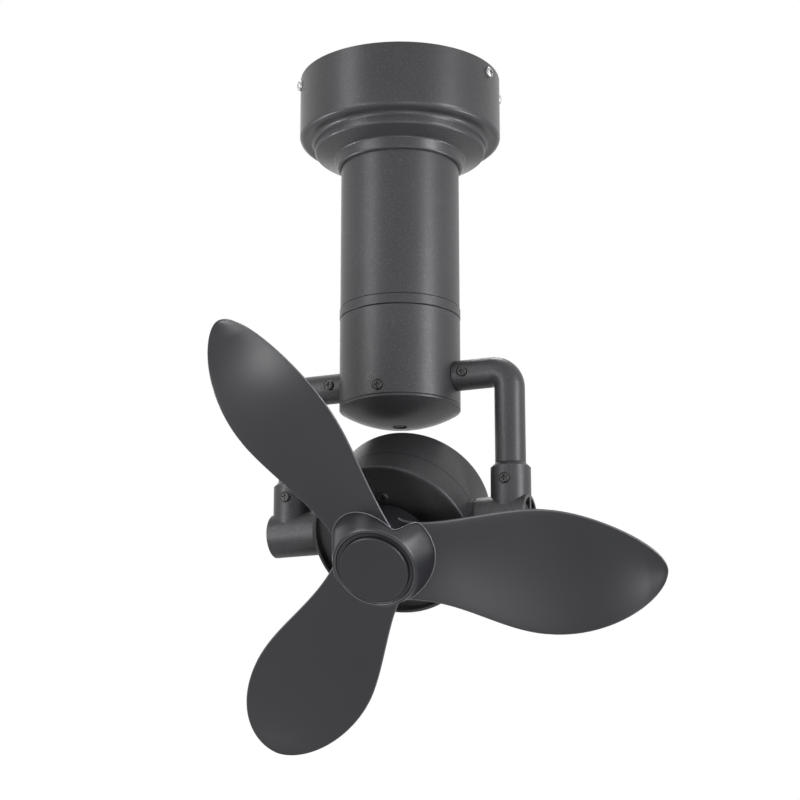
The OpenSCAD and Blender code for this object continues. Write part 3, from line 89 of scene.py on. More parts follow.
class FinishSettings(bpy.types.PropertyGroup):
    """Colours and textures of the fan's surfaces"""

    coat: colour("Powder coat", "Charcoal coat of the metal housings", (0.045, 0.0445, 0.048))
    coat_fleck: colour("Coat fleck", "Lighter grains in the powder coat", (0.120, 0.120, 0.124))
    coat_roughness: share("Coat roughness", "Gloss of the powder coat", 0.41)
    canopy_roughness: share("Canopy roughness", "Gloss of the powder coat on the spun canopy", 0.37)
    coat_grain: length("Coat grain", "Size of the powder coat's grains", 0.7 * MM)
    blade: colour("Blade", "Moulded plastic of the propeller", (0.0188, 0.0192, 0.0238))
    # blade_edge is a painted highlight: a much paler colour that the edge mask mixes in along the rounded
    # edges of the blades and hub
    blade_edge: colour("Blade edge highlight", "Painted highlight along the edges of the blades and hub", (0.15, 0.15, 0.165))
    blade_roughness: share("Blade roughness", "Gloss of the propeller", 0.33)
    screw: colour("Dark screw", "Blackened steel of the visible screws", (0.040, 0.040, 0.041))


class PropellerSettings(bpy.types.PropertyGroup):
    """Sizes of the moulded propeller, which are those of its solid"""

    spin: angle("Spin", "Turn of the first blade about the fan axis", 112.5)
    blades: bpy.props.IntProperty(name="Blades", description="Number of blades", default=3, min=2, max=3)
    tip_radius: length("Tip radius", "Distance from the axis to the blade tips", 203.7 * MM)
    belly_radius: length("Belly radius", "Distance from the axis to the widest place", 121.7 * MM)
    lead_width: length("Leading width", "Half width of the leading side", 40.7 * MM)
    trail_width: length("Trailing width", "Half width of the trailing side", 45.6 * MM)
    pitch_root: angle("Root pitch", "Blade angle at the hub", 17.2)
    pitch_tip: angle("Tip pitch", "Blade angle at the tip", 11.2)
    root_thickness: length("Root thickness", "Blade thickness at the hub", 5.0 * MM)
    tip_thickness: length("Tip thickness", "Blade thickness at the tip", 2.4 * MM)
    edge_thickness: length("Edge thickness", "Thickness of the rounded blade edges", 1.2 * MM)
    camber: length("Camber", "Hollow of the blade's front face", 3.0 * MM)
    hub_front: length("Hub front", "Distance from the tilt axis to the hub's rim", 63.4 * MM)
    hub_rear: length("Hub rear", "Distance from the tilt axis to the hub's rear edge", 26.0 * MM)
    groove_floor: length("Groove floor", "Distance from the tilt axis to the groove's floor", 57.0 * MM)
    bead: length("Bead", "Radius of the bead along the edge of each root petal", 0.5 * MM)


class StageSettings(bpy.types.PropertyGroup):
    """Camera, lamps and floor"""

    distance: length("Camera distance", "Level distance from the tube's axis to the camera", 1551.04 * MM)
    height: bpy.props.FloatProperty(
        name="Camera height", description="Height of the camera above the ceiling plane",
        default=-676.01 * MM, unit="LENGTH", subtype="DISTANCE",
    )
    azimuth: angle("Camera azimuth", "Turn of the camera from the front towards the right", 10.0)
    pitch: angle("Camera pitch", "Upward tilt of the camera", 15.2857)
    focal: bpy.props.FloatProperty(
        name="Focal length", description="Lens length on a 36 mm sensor, in millimetres",
        default=98.327, min=1, unit="CAMERA",
    )
    floor_colour: colour("Floor", "Colour of the pale floor", (0.84, 0.84, 0.84))
    floor_glow: share(
        "Floor glow", "How far the floor is lifted towards white in what the camera and mirrors see", 0.55
    )
    floor_drop: length("Floor drop", "Distance from the ceiling plane to the floor", 2.4)
    left_power: watts("Left softbox", "Power of the tall softbox on the left", 9.6)
    left_low_power: watts("Low left softbox", "Power of the narrow softbox low on the left", 5.1)
    right_power: watts("Right softbox", "Power of the tall softbox on the right", 19.5)
    right_low_power: watts("Low right softbox", "Power of the small softbox low on the right", 4.0)
    back_power: watts("Back softbox", "Power of the softbox behind", 3.0)
    rim_power: watts("Rim lamp", "Power of the lamp above and behind", 10.0)
    canopy_power: watts("Canopy lamps", "Power of each gridded lamp that grazes the canopy's steps", 0.09)
    ambient: bpy.props.FloatProperty(
        name="Ambient", description="Strength of the even light from all round", default=0.06, min=0
    )


# ---------- shader helpers ----------

def node_in(tree, kind, x, y, **values):
    """A node with its plain settings, placed in the editor."""
    node = tree.nodes.new(kind)
    node.location = (x, y)
    for key, value in values.items():
        setattr(node, key, value)
    return node


def new_group(name, inputs, outputs):
    """An empty node group with its sockets; values are (type, default)."""
    group = bpy.data.node_groups.new(name, "ShaderNodeTree")
    for socket, (kind, default) in inputs.items():
        item = group.interface.new_socket(name=socket, in_out="INPUT", socket_type=kind)
        item.default_value = default
    for socket, kind in outputs.items():
        group.interface.new_socket(name=socket, in_out="OUTPUT", socket_type=kind)
    start = node_in(group, "NodeGroupInput", -900, 0)
    end = node_in(group, "NodeGroupOutput", 700, 0)
    return group, start, end


def map_range(tree, source, span, x, y, **values):
    """Maps a socket from one range to another; span holds the two ends of each."""
    node = node_in(tree, "ShaderNodeMapRange", x, y, **values)
    tree.links.new(source, node.inputs["Value"])
    for name, value in zip(("From Min", "From Max", "To Min", "To Max"), span):
        node.inputs[name].default_value = value
    return node.outputs["Result"]


def math_node(tree, operation, first, second, x, y):
    """A sum, product or the like of two sockets."""
    node = node_in(tree, "ShaderNodeMath", x, y, operation=operation)
    tree.links.new(first, node.inputs[0])
    tree.links.new(second, node.inputs[1])
    return node.outputs["Value"]


def scale_colour(tree, tint, factor, x, y):
    """A colour made lighter or darker by a factor."""
    node = node_in(tree, "ShaderNodeVectorMath", x, y, operation="SCALE")
    tree.links.new(tint, node.inputs[0])
    tree.links.new(factor, node.inputs["Scale"])
    return node.outputs["Vector"]


def mix_colour(tree, factor, first, second, x, y):
    """Mixes two colours, each a socket."""
    node = node_in(tree, "ShaderNodeMix", x, y, data_type="RGBA")
    tree.links.new(factor, node.inputs["Factor"])
    tree.links.new(first, node.inputs["A"])
    tree.links.new(second, node.inputs["B"])
    return node.outputs["Result"]


def object_noise(tree, scale, detail, x, y, stretch=None):
    """Noise in object space; scale is a socket or a number."""
    coords = node_in(tree, "ShaderNodeTexCoord", x - 400, y)
    source = coords.outputs["Object"]
    if stretch:
        mapping = node_in(tree, "ShaderNodeMapping", x - 200, y)
        mapping.inputs["Scale"].default_value = stretch
        tree.links.new(source, mapping.inputs["Vector"])
        source = mapping.outputs["Vector"]
    noise = node_in(tree, "ShaderNodeTexNoise", x, y)
    noise.inputs["Detail"].default_value = detail
    tree.links.new(source, noise.inputs["Vector"])
    if isinstance(scale, (int, float)):
        noise.inputs["Scale"].default_value = scale
    else:
        tree.links.new(scale, noise.inputs["Scale"])
    return noise.outputs["Fac"]


# Mesh attribute that marks the edges of moulded pieces, where a painted highlight lightens the colour and the
# finish is smoother
EDGE = "edge_wear"

# What a noise or the edge mask does: its level from and to, and the value at each end
COAT_FLECK = (0.56, 0.70, 0.0, 0.65)
COAT_TONE = (0.35, 0.65, 0.93, 1.07)
COAT_GLOSS = (0.3, 0.7, 0.07, -0.07)
MOULDED_TONE = (0.35, 0.65, 0.95, 1.05)
MOULDED_GLOSS = (0.3, 0.7, -0.03, 0.03)
EDGE_POLISH = (0.0, 1.0, 1.0, 0.6)
METAL_STAIN = (0.45, 0.75, 0.0, 0.5)
METAL_GLOSS = (0.3, 0.7, -0.08, 0.08)

# Clouds of tone or stain per metre, and the stretch of the streaks along Z
COAT_CLOUDS = 22.0
MOULDED_CLOUDS = 14.0
METAL_CLOUDS = 60.0
STREAK_STRETCH = (0.06, 0.06, 1.0)


def powder_group():
    """Fine sandy powder coat: two sizes of grain, light flecks and a slow cloud of tone."""
    group, start, end = new_group(
        "powder_grain",
        {
            "Color": ("NodeSocketColor", (0.1, 0.1, 0.1, 1)),
            "Fleck": ("NodeSocketColor", (0.2, 0.2, 0.2, 1)),
            "Grains per metre": ("NodeSocketFloat", 1400.0),
            "Roughness": ("NodeSocketFloat", 0.5),
        },
        {"Color": "NodeSocketColor", "Roughness": "NodeSocketFloat", "Height": "NodeSocketFloat"},
    )
    grain = object_noise(group, start.outputs["Grains per metre"], 3.0, -400, 300)
    cloud = object_noise(group, COAT_CLOUDS, 2.0, -400, -200)
    fleck = map_range(group, grain, COAT_FLECK, -150, 300)
    speckled = mix_colour(group, fleck, start.outputs["Color"], start.outputs["Fleck"], 80, 300)
    tone = map_range(group, cloud, COAT_TONE, -150, -200)
    spread = map_range(group, grain, COAT_GLOSS, -150, 0)
    rough = math_node(group, "ADD", start.outputs["Roughness"], spread, 300, 0)
    group.links.new(scale_colour(group, speckled, tone, 300, 200), end.inputs["Color"])
    group.links.new(rough, end.inputs["Roughness"])
    group.links.new(grain, end.inputs["Height"])
    return group


def moulded_group():
    """Moulded plastic: a faint spark-eroded grain, a slow change of tone and gloss, and
    smoother edges with a painted highlight in their colour where the mesh carries the edge mask."""
    group, start, end = new_group(
        "moulded_grain",
        {
            "Color": ("NodeSocketColor", (0.1, 0.1, 0.1, 1)),
            "Grains per metre": ("NodeSocketFloat", 2500.0),
            "Roughness": ("NodeSocketFloat", 0.4),
            "Edge": ("NodeSocketColor", (0.2, 0.2, 0.2, 1)),
        },
        {"Color": "NodeSocketColor", "Roughness": "NodeSocketFloat", "Height": "NodeSocketFloat"},
    )
    grain = object_noise(group, start.outputs["Grains per metre"], 2.0, -400, 300)
    edge = node_in(group, "ShaderNodeAttribute", -400, 600, attribute_name=EDGE)
    # painted highlight: the edge mask mixes the paler edge colour into the plastic's own colour
    edge_highlighted = mix_colour(group, edge.outputs["Fac"], start.outputs["Color"], start.outputs["Edge"], 80, 400)
    cloud = object_noise(group, MOULDED_CLOUDS, 2.0, -400, -200)
    tone = map_range(group, cloud, MOULDED_TONE, -150, 100)
    spread = map_range(group, cloud, MOULDED_GLOSS, -150, -200)
    rough = math_node(group, "ADD", start.outputs["Roughness"], spread, 100, 0)
    polish = map_range(group, edge.outputs["Fac"], EDGE_POLISH, 100, -200)
    group.links.new(scale_colour(group, edge_highlighted, tone, 300, 200), end.inputs["Color"])
    group.links.new(math_node(group, "MULTIPLY", rough, polish, 300, 0), end.inputs["Roughness"])
    group.links.new(grain, end.inputs["Height"])
    return group


def machined_group():
    """Turned or rolled bare metal: streaks along one direction with a little stain."""
    group, start, end = new_group(
        "machined_streaks",
        {
            "Color": ("NodeSocketColor", (0.5, 0.5, 0.5, 1)),
            "Stain": ("NodeSocketColor", (0.3, 0.3, 0.3, 1)),
            "Streaks per metre": ("NodeSocketFloat", 900.0),
            "Roughness": ("NodeSocketFloat", 0.3),
        },
        {"Color": "NodeSocketColor", "Roughness": "NodeSocketFloat", "Height": "NodeSocketFloat"},
    )
    streak = object_noise(group, start.outputs["Streaks per metre"], 2.0, -400, 300, STREAK_STRETCH)
    cloud = object_noise(group, METAL_CLOUDS, 3.0, -400, -200)
    stain = map_range(group, cloud, METAL_STAIN, -150, -200)
    tinted = mix_colour(group, stain, start.outputs["Color"], start.outputs["Stain"], 80, 200)
    spread = map_range(group, streak, METAL_GLOSS, -150, 0)
    rough = math_node(group, "ADD", start.outputs["Roughness"], spread, 300, 0)
    group.links.new(tinted, end.inputs["Color"])
    group.links.new(rough, end.inputs["Roughness"])
    group.links.new(streak, end.inputs["Height"])
    return group


GROUP_MAKERS = {
    "powder_grain": powder_group,
    "moulded_grain": moulded_group,
    "machined_streaks": machined_group,
}


def shared_group(name):
    """The node group of that name, built when it is first asked for."""
    return bpy.data.node_groups.get(name) or GROUP_MAKERS[name]()


def surface(name, group_name, values, metallic=0.0, bump=0.1, bump_depth=0.05 * MM):
    """A Principled material whose colour, roughness and bump come from a shared group."""
    material = bpy.data.materials.new("finish_" + name)
    material.use_nodes = True
    tree = material.node_tree
    shader = tree.nodes["Principled BSDF"]
    grain = node_in(tree, "ShaderNodeGroup", -500, 200, node_tree=shared_group(group_name))
    for socket, value in values.items():
        grain.inputs[socket].default_value = (*value, 1.0) if hasattr(value, "__len__") else value
    relief = node_in(tree, "ShaderNodeBump", -250, -200)
    relief.inputs["Strength"].default_value = bump
    relief.inputs["Distance"].default_value = bump_depth
    tree.links.new(grain.outputs["Height"], relief.inputs["Height"])
    tree.links.new(grain.outputs["Color"], shader.inputs["Base Color"])
    tree.links.new(grain.outputs["Roughness"], shader.inputs["Roughness"])
    tree.links.new(relief.outputs["Normal"], shader.inputs["Normal"])
    shader.inputs["Metallic"].default_value = metallic
    return material


def paint(material, *nodes):
    """Gives CAD nodes one material."""
    for name in nodes:
        mesh = frame["nodes"][name].data
        mesh.materials.clear()
        mesh.materials.append(material)


# ---------- finishes of the CAD pieces ----------

def powder_coat(name, finish, roughness):
    """Charcoal powder coat with a sandy grain."""
    return surface(
        name, "powder_grain",
        {
            "Color": finish.coat, "Fleck": finish.coat_fleck,
            "Grains per metre": 1 / finish.coat_grain, "Roughness": roughness,
        },
        metallic=0.3, bump=0.35, bump_depth=0.08 * MM,
    )


def blade_plastic(finish):
    """Dark moulded plastic of the propeller and its cap, with a painted highlight along its edges."""
    return surface(
        "blade_plastic", "moulded_grain",
        # the edge colour is a painted highlight along the blades' and hub's rounded edges
        {
            "Color": finish.blade, "Edge": finish.blade_edge,
            "Grains per metre": 2600.0, "Roughness": finish.blade_roughness,
        },
        bump=0.12, bump_depth=0.03 * MM,
    )


def dark_steel(finish):
    """Blackened steel of the screws."""
    return surface(
        "dark_steel", "machined_streaks",
        {"Color": finish.screw, "Stain": (0.09, 0.085, 0.08), "Streaks per metre": 1500.0, "Roughness": 0.38},
        metallic=0.6, bump=0.1,
    )


def bare_metal(name, tint, stain, roughness, streaks=900.0):
    """Unpainted metal with fine streaks."""
    return surface(
        name, "machined_streaks",
        {"Color": tint, "Stain": stain, "Streaks per metre": streaks, "Roughness": roughness},
        metallic=1.0, bump=0.12,
    )


def plain_plastic(name, tint, roughness):
    """Moulded plastic of the electrical pieces and washers."""
    return surface(
        name, "moulded_grain", {"Color": tint, "Grains per metre": 1800.0, "Roughness": roughness}, bump=0.2
    )


class FAN_OT_finish_housings(bpy.types.Operator):
    """Powder-coats the canopy, tube, swivel housing, arms, tees and motor shells"""

    bl_idname = "fan.finish_housings"
    bl_label = "Finish housings"

    def execute(self, context):
        finish = context.scene.fan_finish
        paint(powder_coat("canopy_coat", finish, finish.canopy_roughness), "canopy")
        paint(
            powder_coat("powder_coat", finish, finish.coat_roughness),
            "upper_tube", "trim_ring", "swivel_housing", "bottom_cap",
            "arm_left", "arm_right", "tee_left", "tee_right", "rear_shell", "front_shell",
        )
        return {"FINISHED"}


class FAN_OT_finish_screws(bpy.types.Operator):
    """Blackens the screws in the dimples and brightens the canopy screws"""

    bl_idname = "fan.finish_screws"
    bl_label = "Finish screws"

    def execute(self, context):
        paint(
            dark_steel(context.scene.fan_finish),
            "flange_screws", "drive_screws", "bearing_circlip", "ring_screws", "spindle_bolts",
            "cap_screw", "housing_screws", "arm_screws", "tee_screws", "face_screws",
            "through_bolts", "pivot_bolts",
        )
        paint(
            bare_metal("bright_steel", (0.50, 0.50, 0.51), (0.36, 0.36, 0.36), 0.30),
            "canopy_screws", "upper_bearing", "lower_bearing", "spindle_nut", "rear_bearing",
            "front_bearing", "motor_shaft", "propeller_nut",
        )
        return {"FINISHED"}


class FAN_OT_finish_inner_pieces(bpy.types.Operator):
    """Gives the bracket, drive, motor and fixing pieces inside their bare finishes"""

    bl_idname = "fan.finish_inner_pieces"
    bl_label = "Finish inner pieces"

    def execute(self, context):
        paint(
            bare_metal("zinc_steel", (0.52, 0.53, 0.55), (0.36, 0.37, 0.38), 0.36),
            "ceiling_bracket", "tube_flange", "drive_plate", "orbit_gearbox", "orbit_motor",
            "orbit_pinion", "orbit_gear", "spindle", "arm_crossbar", "cap_bridge",
            "pivot_stub_left", "pivot_stub_right", "rotor",
        )
        paint(
            bare_metal("laminated_steel", (0.34, 0.35, 0.37), (0.18, 0.17, 0.16), 0.5, streaks=1400.0),
            "stator_core",
        )
        paint(
            bare_metal("cast_aluminium", (0.62, 0.63, 0.64), (0.45, 0.45, 0.45), 0.45, streaks=400.0),
            "bearing_housing", "front_bell",
        )
        paint(
            bare_metal("brass", (0.75, 0.55, 0.24), (0.5, 0.34, 0.14), 0.3),
            "bracket_screws", "pivot_bush_left", "pivot_bush_right", "hub_insert",
        )
        paint(bare_metal("copper", (0.70, 0.33, 0.16), (0.45, 0.18, 0.08), 0.35), "stator_windings")
        paint(plain_plastic("white_plastic", (0.78, 0.77, 0.74), 0.45), "terminal_block")
        paint(
            plain_plastic("black_plastic", (0.025, 0.025, 0.026), 0.5),
            "receiver_box", "slip_ring", "run_capacitor", "friction_washers",
        )
        return {"FINISHED"}


# ---------- propeller ----------

# The blade's plan in millimetres, along the blade and across it: where each edge leaves
# the hub, the pulls of its curves before and after the widest place and at the tip, and
# the heights of the blade's middle line
ROOT_X = 14.0
LEAD_ROOT = ((14.0, 29.3), (34.2, 17.5))
TRAIL_ROOT = ((14.0, -27.0), (59.9, -27.1))
LEAD_PULLS = (33.1, 42.0, 16.9)
TRAIL_PULLS = (36.9, 42.7, -20.2)
TIP_SHIFT = -2.6
MIDDLE_LINE = (49.7, 38.8, 65.6, 41.6)
NARROW = 0.45           # where the blade is narrow, each round edge takes this part of it

# Outline of a root petal: angle from the blade's axis in degrees, and radius
PETAL = (
    (-58, 32.5), (-45, 34.6), (-26, 37.2), (-10, 39.1), (3, 40.2), (11, 40.5), (22, 40.4),
    (35, 40.0), (43, 39.0), (48, 37.2), (53, 35.1), (58, 33.3), (62, 32.5),
)
PETAL_FREE = 41.0       # angle at which the petal's edge leaves the blade
PETAL_FREE_R = 39.2     # and its radius there
BURIED_R = 29.8         # radius inside the hub's wall where the blades begin
TURN_STEPS = 288        # steps round the hub
TIP_END = 0.9998        # the last section stops just short of the tip, so that it has a width
HALVINGS = 30           # halvings of a search along the blade

# Section of the hub, radii and heights in millimetres: its wall, inside and outside, the
# shaft's bore, the boss and insert behind it, and the web that carries the cap
HUB_R = 31.0
HUB_SIDE_R = 28.5
HUB_CORNER = 0.6
BORE_R = 4.03
BOSS_R = 10.0
INSERT_R = 7.0
BOSS_DEPTH = 10.0
WEB = 3.0

# The rim, as radius and depth below the hub's front: a shallow groove that leaves the cap
# a narrow gap, the rim's crest, and the round shoulder where a petal begins
CAP_GAP_R = 25.3
RIM = (
    (25.35, 1.2), (26.3, 1.2), (27.4, 1.15), (28.0, 1.0), (28.3, 0.7), (28.6, 0.3), (28.9, 0.05),
    (29.5, 0.0), (30.1, 0.1), (30.6, 0.35), (30.95, 0.65),
)
PETAL_START = (31.1, 0.8)
PETAL_FLARE = 0.8       # below 1 the petal bulges, above 1 it is hollow
PETAL_STEPS = 14
BEAD_STEPS = 6
BEAD_START = 150        # degrees from the outside at which the bead begins
BEAD_TURN = 210         # degrees that it goes round, over the top

# Ribs behind the web: how many, where the first one is, and its size; millimetres
RIB_COUNT = 6
RIB_PLACE = (19.2, 0, 48.2)
RIB_SIZE = (19.0, 2.0, 12.4)

JOIN_GAP = 0.0005       # corners closer than this, in millimetres, become one
SHARP_ANGLE = 40        # degrees, above which an edge is drawn sharp

# Edge mask, which paints a highlight into the colour and smooths the finish on the edges: a corner's bend is
# this radius in millimetres over its own; the mask begins at one bend and is full after a further rise
EDGE_R = 1.0
EDGE_BEND = 0.5
EDGE_RISE = 0.7


def bezier(points, t):
    """A point, or a number, on a cubic curve."""
    a, b, c, d = points
    s = 1 - t
    return a * s**3 + b * (3 * t * s * s) + c * (3 * t * t * s) + d * t**3


def blade_edge(size, t, root, width, pulls):
    """A point on one edge in plan: t is 0 at the hub, 1 at the widest place, 2 at the tip."""
    belly, tip = size.belly_radius / MM, size.tip_radius / MM
    if t < 1:
        curve = (*root, (belly - pulls[0], width), (belly, width))
    else:
        curve = ((belly, width), (belly + pulls[1], width), (tip, TIP_SHIFT + pulls[2]), (tip, TIP_SHIFT))
        t -= 1
    return bezier([Vector(point) for point in curve], t)


def blade_edges(size, t):
    """The points on the leading and the trailing edge."""
    return (
        blade_edge(size, t, LEAD_ROOT, size.lead_width / MM, LEAD_PULLS),
        blade_edge(size, t, TRAIL_ROOT, -size.trail_width / MM, TRAIL_PULLS),
    )


def blade_level(size, place, v, chord):
    """Height of the blade's middle surface: pitch and hollow taken off its middle line."""
    part = max(0.0, (place.x - ROOT_X) / (size.tip_radius / MM - ROOT_X))
    slope = math.tan(size.pitch_root) * (1 - part) + math.tan(size.pitch_tip) * part
    fade = min(1.0, chord / (size.lead_width / MM))
    return bezier(MIDDLE_LINE, part) - place.y * slope - size.camber / MM * 4 * v * (1 - v) * fade


def blade_half_thickness(size, t, v, chord):
    """Half the thickness, rounded off at both edges."""
    fade = min(1.0, chord / (size.lead_width / MM))
    edge = size.edge_thickness / MM
    middle = size.root_thickness / MM * (1 - t / 2) + size.tip_thickness / MM * t / 2
    thick = edge + (middle - edge) * math.sqrt(max(0.0, 4 * v * (1 - v))) * fade
    round_r = min(edge / 2, chord * NARROW)
    depth = min(1.0, min(v, 1 - v) * chord / round_r)
    return thick / 2 * math.sqrt(max(0.0, 1 - (1 - depth) ** 2))


def chord_places(chord, round_r, corner=4, middle=20):
    """Places across the blade from 0 to 1, close together on the two round edges."""
    end = [round_r / chord * (1 - math.cos(math.pi / 2 * i / corner)) for i in range(corner)]
    inner = round_r / chord
    span = [inner + (1 - 2 * inner) * (1 - math.cos(math.pi * i / middle)) / 2 for i in range(middle + 1)]
    return end + span + [1 - v for v in reversed(end)]


def where_radius(size, v, radius):
    """How far along the blade a line of constant v leaves the hub's wall."""
    low, high = 0.0, 1.0
    for _ in range(HALVINGS):
        half = (low + high) / 2
        lead, trail = blade_edges(size, half)
        if (lead + (trail - lead) * v).length < radius:
            low = half
        else:
            high = half
    return low


def blade_rings(size, inner=40, outer=40):
    """Closed sections in millimetres: one buried in the hub's wall, then on to the tip."""
    round_r = size.edge_thickness / MM / 2
    lead, trail = blade_edges(size, 0.0)
    starts = [where_radius(size, v, BURIED_R) for v in chord_places((trail - lead).length, round_r)]
    rings = []
    for station in range(-1, inner + outer):
        ring = {1: [], -1: []}
        for index, start in enumerate(starts):
            if station < inner:
                t = start + (1 - start) * max(station, 0) / inner
            else:
                t = 1 + math.sin(math.pi / 2 * (station - inner + 1) / outer) * TIP_END
            lead, trail = blade_edges(size, t)
            chord = (trail - lead).length
            v = chord_places(chord, min(round_r, chord * NARROW))[index]
            place = lead + (trail - lead) * v
            level = blade_level(size, place, v, chord)
            half = blade_half_thickness(size, t, v, chord)
            if station < 0:
                place = place * (BURIED_R / place.length)
            for side in (1, -1):
                ring[side].append(Vector((place.x, place.y, level + side * half)))
        rings.append(ring[1] + ring[-1][-2:0:-1])
    return rings


def blade_front(size, angle_deg, radius):
    """Height of the blade's front face at a radius and an angle from its axis."""
    turn = math.radians(angle_deg)
    place = Vector((radius * math.cos(turn), radius * math.sin(turn)))
    low, high = 0.0, 1.0
    for _ in range(HALVINGS):
        t = (low + high) / 2
        lead, trail = blade_edges(size, t)
        across = trail - lead
        side = across.x * (place.y - lead.y) - across.y * (place.x - lead.x)
        if side > 0:
            low = t
        else:
            high = t
    v = min(1.0, max(0.0, (place - lead).length / across.length))
    return blade_level(size, place, v, across.length) + blade_half_thickness(size, t, v, across.length)


def smooth_round(values, reach):
    """Evens out a closed list of numbers."""
    count = len(values)
    window = range(-reach, reach + 1)
    return [sum(values[(i + j) % count] for j in window) / len(window) for i in range(count)]


def petal_edge(size):
    """Radius and height of the petals' edge at each step round the hub."""
    pitch = 360 / size.blades
    free_low = blade_front(size, PETAL_FREE, PETAL_FREE_R)
    free_high = blade_front(size, *PETAL[0])
    radii, heights = [], []
    for step in range(TURN_STEPS):
        at = PETAL[0][0] + (step * 360 / TURN_STEPS) % pitch
        for (a0, r0), (a1, r1) in zip(PETAL, PETAL[1:]):
            if a0 <= at <= a1:
                radius = r0 + (r1 - r0) * (at - a0) / (a1 - a0)
        radii.append(radius)
        if at <= PETAL_FREE:
            heights.append(blade_front(size, at, radius))
        else:
            rise = (at - PETAL_FREE) / (pitch + PETAL[0][0] - PETAL_FREE)
            heights.append(free_low + (free_high - free_low) * rise * rise * (3 - 2 * rise))
    return smooth_round(radii, 3), smooth_round(heights, 2)


def hub_profile(size, radius, height):
    """The hub's section at one angle, from the bore over the rim, the petal and the
    outside to the hollow behind and back to the bore; millimetres."""
    front, rear, floor = size.hub_front / MM, size.hub_rear / MM, size.groove_floor / MM
    bead = size.bead / MM
    points = [(BORE_R, floor), (CAP_GAP_R, floor)] + [(r, front - depth) for r, depth in RIM]
    start_r, start_z = PETAL_START[0], front - PETAL_START[1]
    end_r, end_z = radius - 1.6 * bead, height + bead * 0.2
    for i in range(PETAL_STEPS + 1):
        u = i / PETAL_STEPS
        points.append((start_r + (end_r - start_r) * u, end_z + (start_z - end_z) * (1 - u) ** PETAL_FLARE))
    for i in range(BEAD_STEPS + 1):
        turn = math.radians(BEAD_START - BEAD_TURN * i / BEAD_STEPS)
        points.append((radius - bead * (0.6 - math.cos(turn)), height + bead * (0.1 + math.sin(turn))))
    under_petal = [
        (radius - 1.5 * bead, height - 1.6), (HUB_R + (radius - HUB_R) * 0.35, height - 4.5),
        (HUB_R, height - 9),
    ]
    rear_edge = [
        (HUB_R, rear + HUB_CORNER), (HUB_R - 0.2, rear + 0.15), (HUB_R - HUB_CORNER, rear),
        (HUB_SIDE_R + 0.3, rear), (HUB_SIDE_R, rear + 0.3),
    ]
    boss_end = rear + BOSS_DEPTH
    hollow = [
        (HUB_SIDE_R, floor - WEB), (BOSS_R, floor - WEB), (BOSS_R, boss_end + 0.4), (BOSS_R - 0.4, boss_end),
        (INSERT_R, boss_end), (INSERT_R, floor - WEB), (BORE_R, floor - WEB),
    ]
    return points + under_petal + rear_edge + hollow


def skin(mesh, rings, closed):
    """Joins rings of vertices with four-sided faces; closed rings also join end to end."""
    rings = [[mesh.verts.new(point) for point in ring] for ring in rings]
    pairs = list(zip(rings, rings[1:])) + ([(rings[-1], rings[0])] if closed else [])
    count = len(rings[0])
    for first, second in pairs:
        for i in range(count):
            j = (i + 1) % count
            mesh.faces.new((first[i], second[i], second[j], first[j]))
    return rings


def edge_mask(mesh):
    """Marks the corners that bend tighter than the edge radius: 1 on an edge, 0 on the faces; there the
    colour gets a painted highlight.
    """
    layer = mesh.verts.layers.float.new(EDGE)
    for vert in mesh.verts:
        bend = 0.0
        for edge in vert.link_edges:
            if len(edge.link_faces) == 2:
                first, second = edge.link_faces
                gap = (first.calc_center_median() - second.calc_center_median()).length
                bend = max(bend, edge.calc_face_angle_signed(0.0) / max(gap, 1e-6))
        vert[layer] = min(1.0, max(0.0, bend * EDGE_R * MM - EDGE_BEND) / EDGE_RISE)


def new_piece(name, mesh, material, body):
    """Turns mesh code into a smooth-shaded object that rides on a CAD body."""
    data = bpy.data.meshes.new(name)
    bmesh.ops.recalc_face_normals(mesh, faces=mesh.faces)
    edge_mask(mesh)
    mesh.to_mesh(data)
    mesh.free()
    data.shade_smooth()
    data.set_sharp_from_angle(angle=math.radians(SHARP_ANGLE))
    data.materials.append(material)
    piece = bpy.data.objects.new(name, data)
    bpy.context.scene.collection.objects.link(piece)
    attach(piece, body)
    return piece


def fan_matrix(spin):
    """Places a shape drawn along +Z on the fan axis at rest, turned by spin, in metres."""
    forward = Vector(JOINTS["propeller_spin"]["axis"]).normalized()
    right = Vector(JOINTS["tilt"]["axis"]).normalized()
    up = forward.cross(right)
    place = Matrix((right, up, forward)).transposed().to_4x4()
    place.translation = Vector(JOINTS["propeller_spin"]["pos_m"])
    return place @ Matrix.Rotation(spin, 4, "Z") @ Matrix.Scale(MM, 4)


class FAN_OT_propeller(bpy.types.Operator):
    """Moulds the propeller: three twisted blades with round edges, a grooved hub and root petals"""

    bl_idname = "fan.propeller"
    bl_label = "Propeller"

    def execute(self, context):
        size = context.scene.fan_propeller
        material = blade_plastic(context.scene.fan_finish)
        mesh = bmesh.new()
        rings = blade_rings(size)
        for blade in range(size.blades):
            turn = Matrix.Rotation(blade * 2 * math.pi / size.blades, 4, "Z")
            loops = skin(mesh, [[turn @ point for point in ring] for ring in rings], False)
            mesh.faces.new(reversed(loops[0]))
            mesh.faces.new(loops[-1])
        radii, heights = petal_edge(size)
        sections = []
        for step in range(TURN_STEPS):
            turn = math.radians(PETAL[0][0] + step * 360 / TURN_STEPS)
            sections.append([
                Vector((r * math.cos(turn), r * math.sin(turn), z))
                for r, z in hub_profile(size, radii[step], heights[step])
            ])
        skin(mesh, sections, True)
        bmesh.ops.remove_doubles(mesh, verts=mesh.verts, dist=JOIN_GAP)
        for rib in range(RIB_COUNT):
            place = Matrix.Rotation(rib * 2 * math.pi / RIB_COUNT, 4, "Z") @ Matrix.Translation(RIB_PLACE)
            bmesh.ops.create_cube(mesh, size=1, matrix=place @ Matrix.Diagonal((*RIB_SIZE, 1.0)))
        bmesh.ops.transform(mesh, matrix=fan_matrix(size.spin), verts=mesh.verts)
        piece = new_piece("propeller_moulding", mesh, material, "propeller")
        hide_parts("propeller")
        paint(material, "propeller", "hub_cap")
        return {"FINISHED"}


# ---------- stage ----------

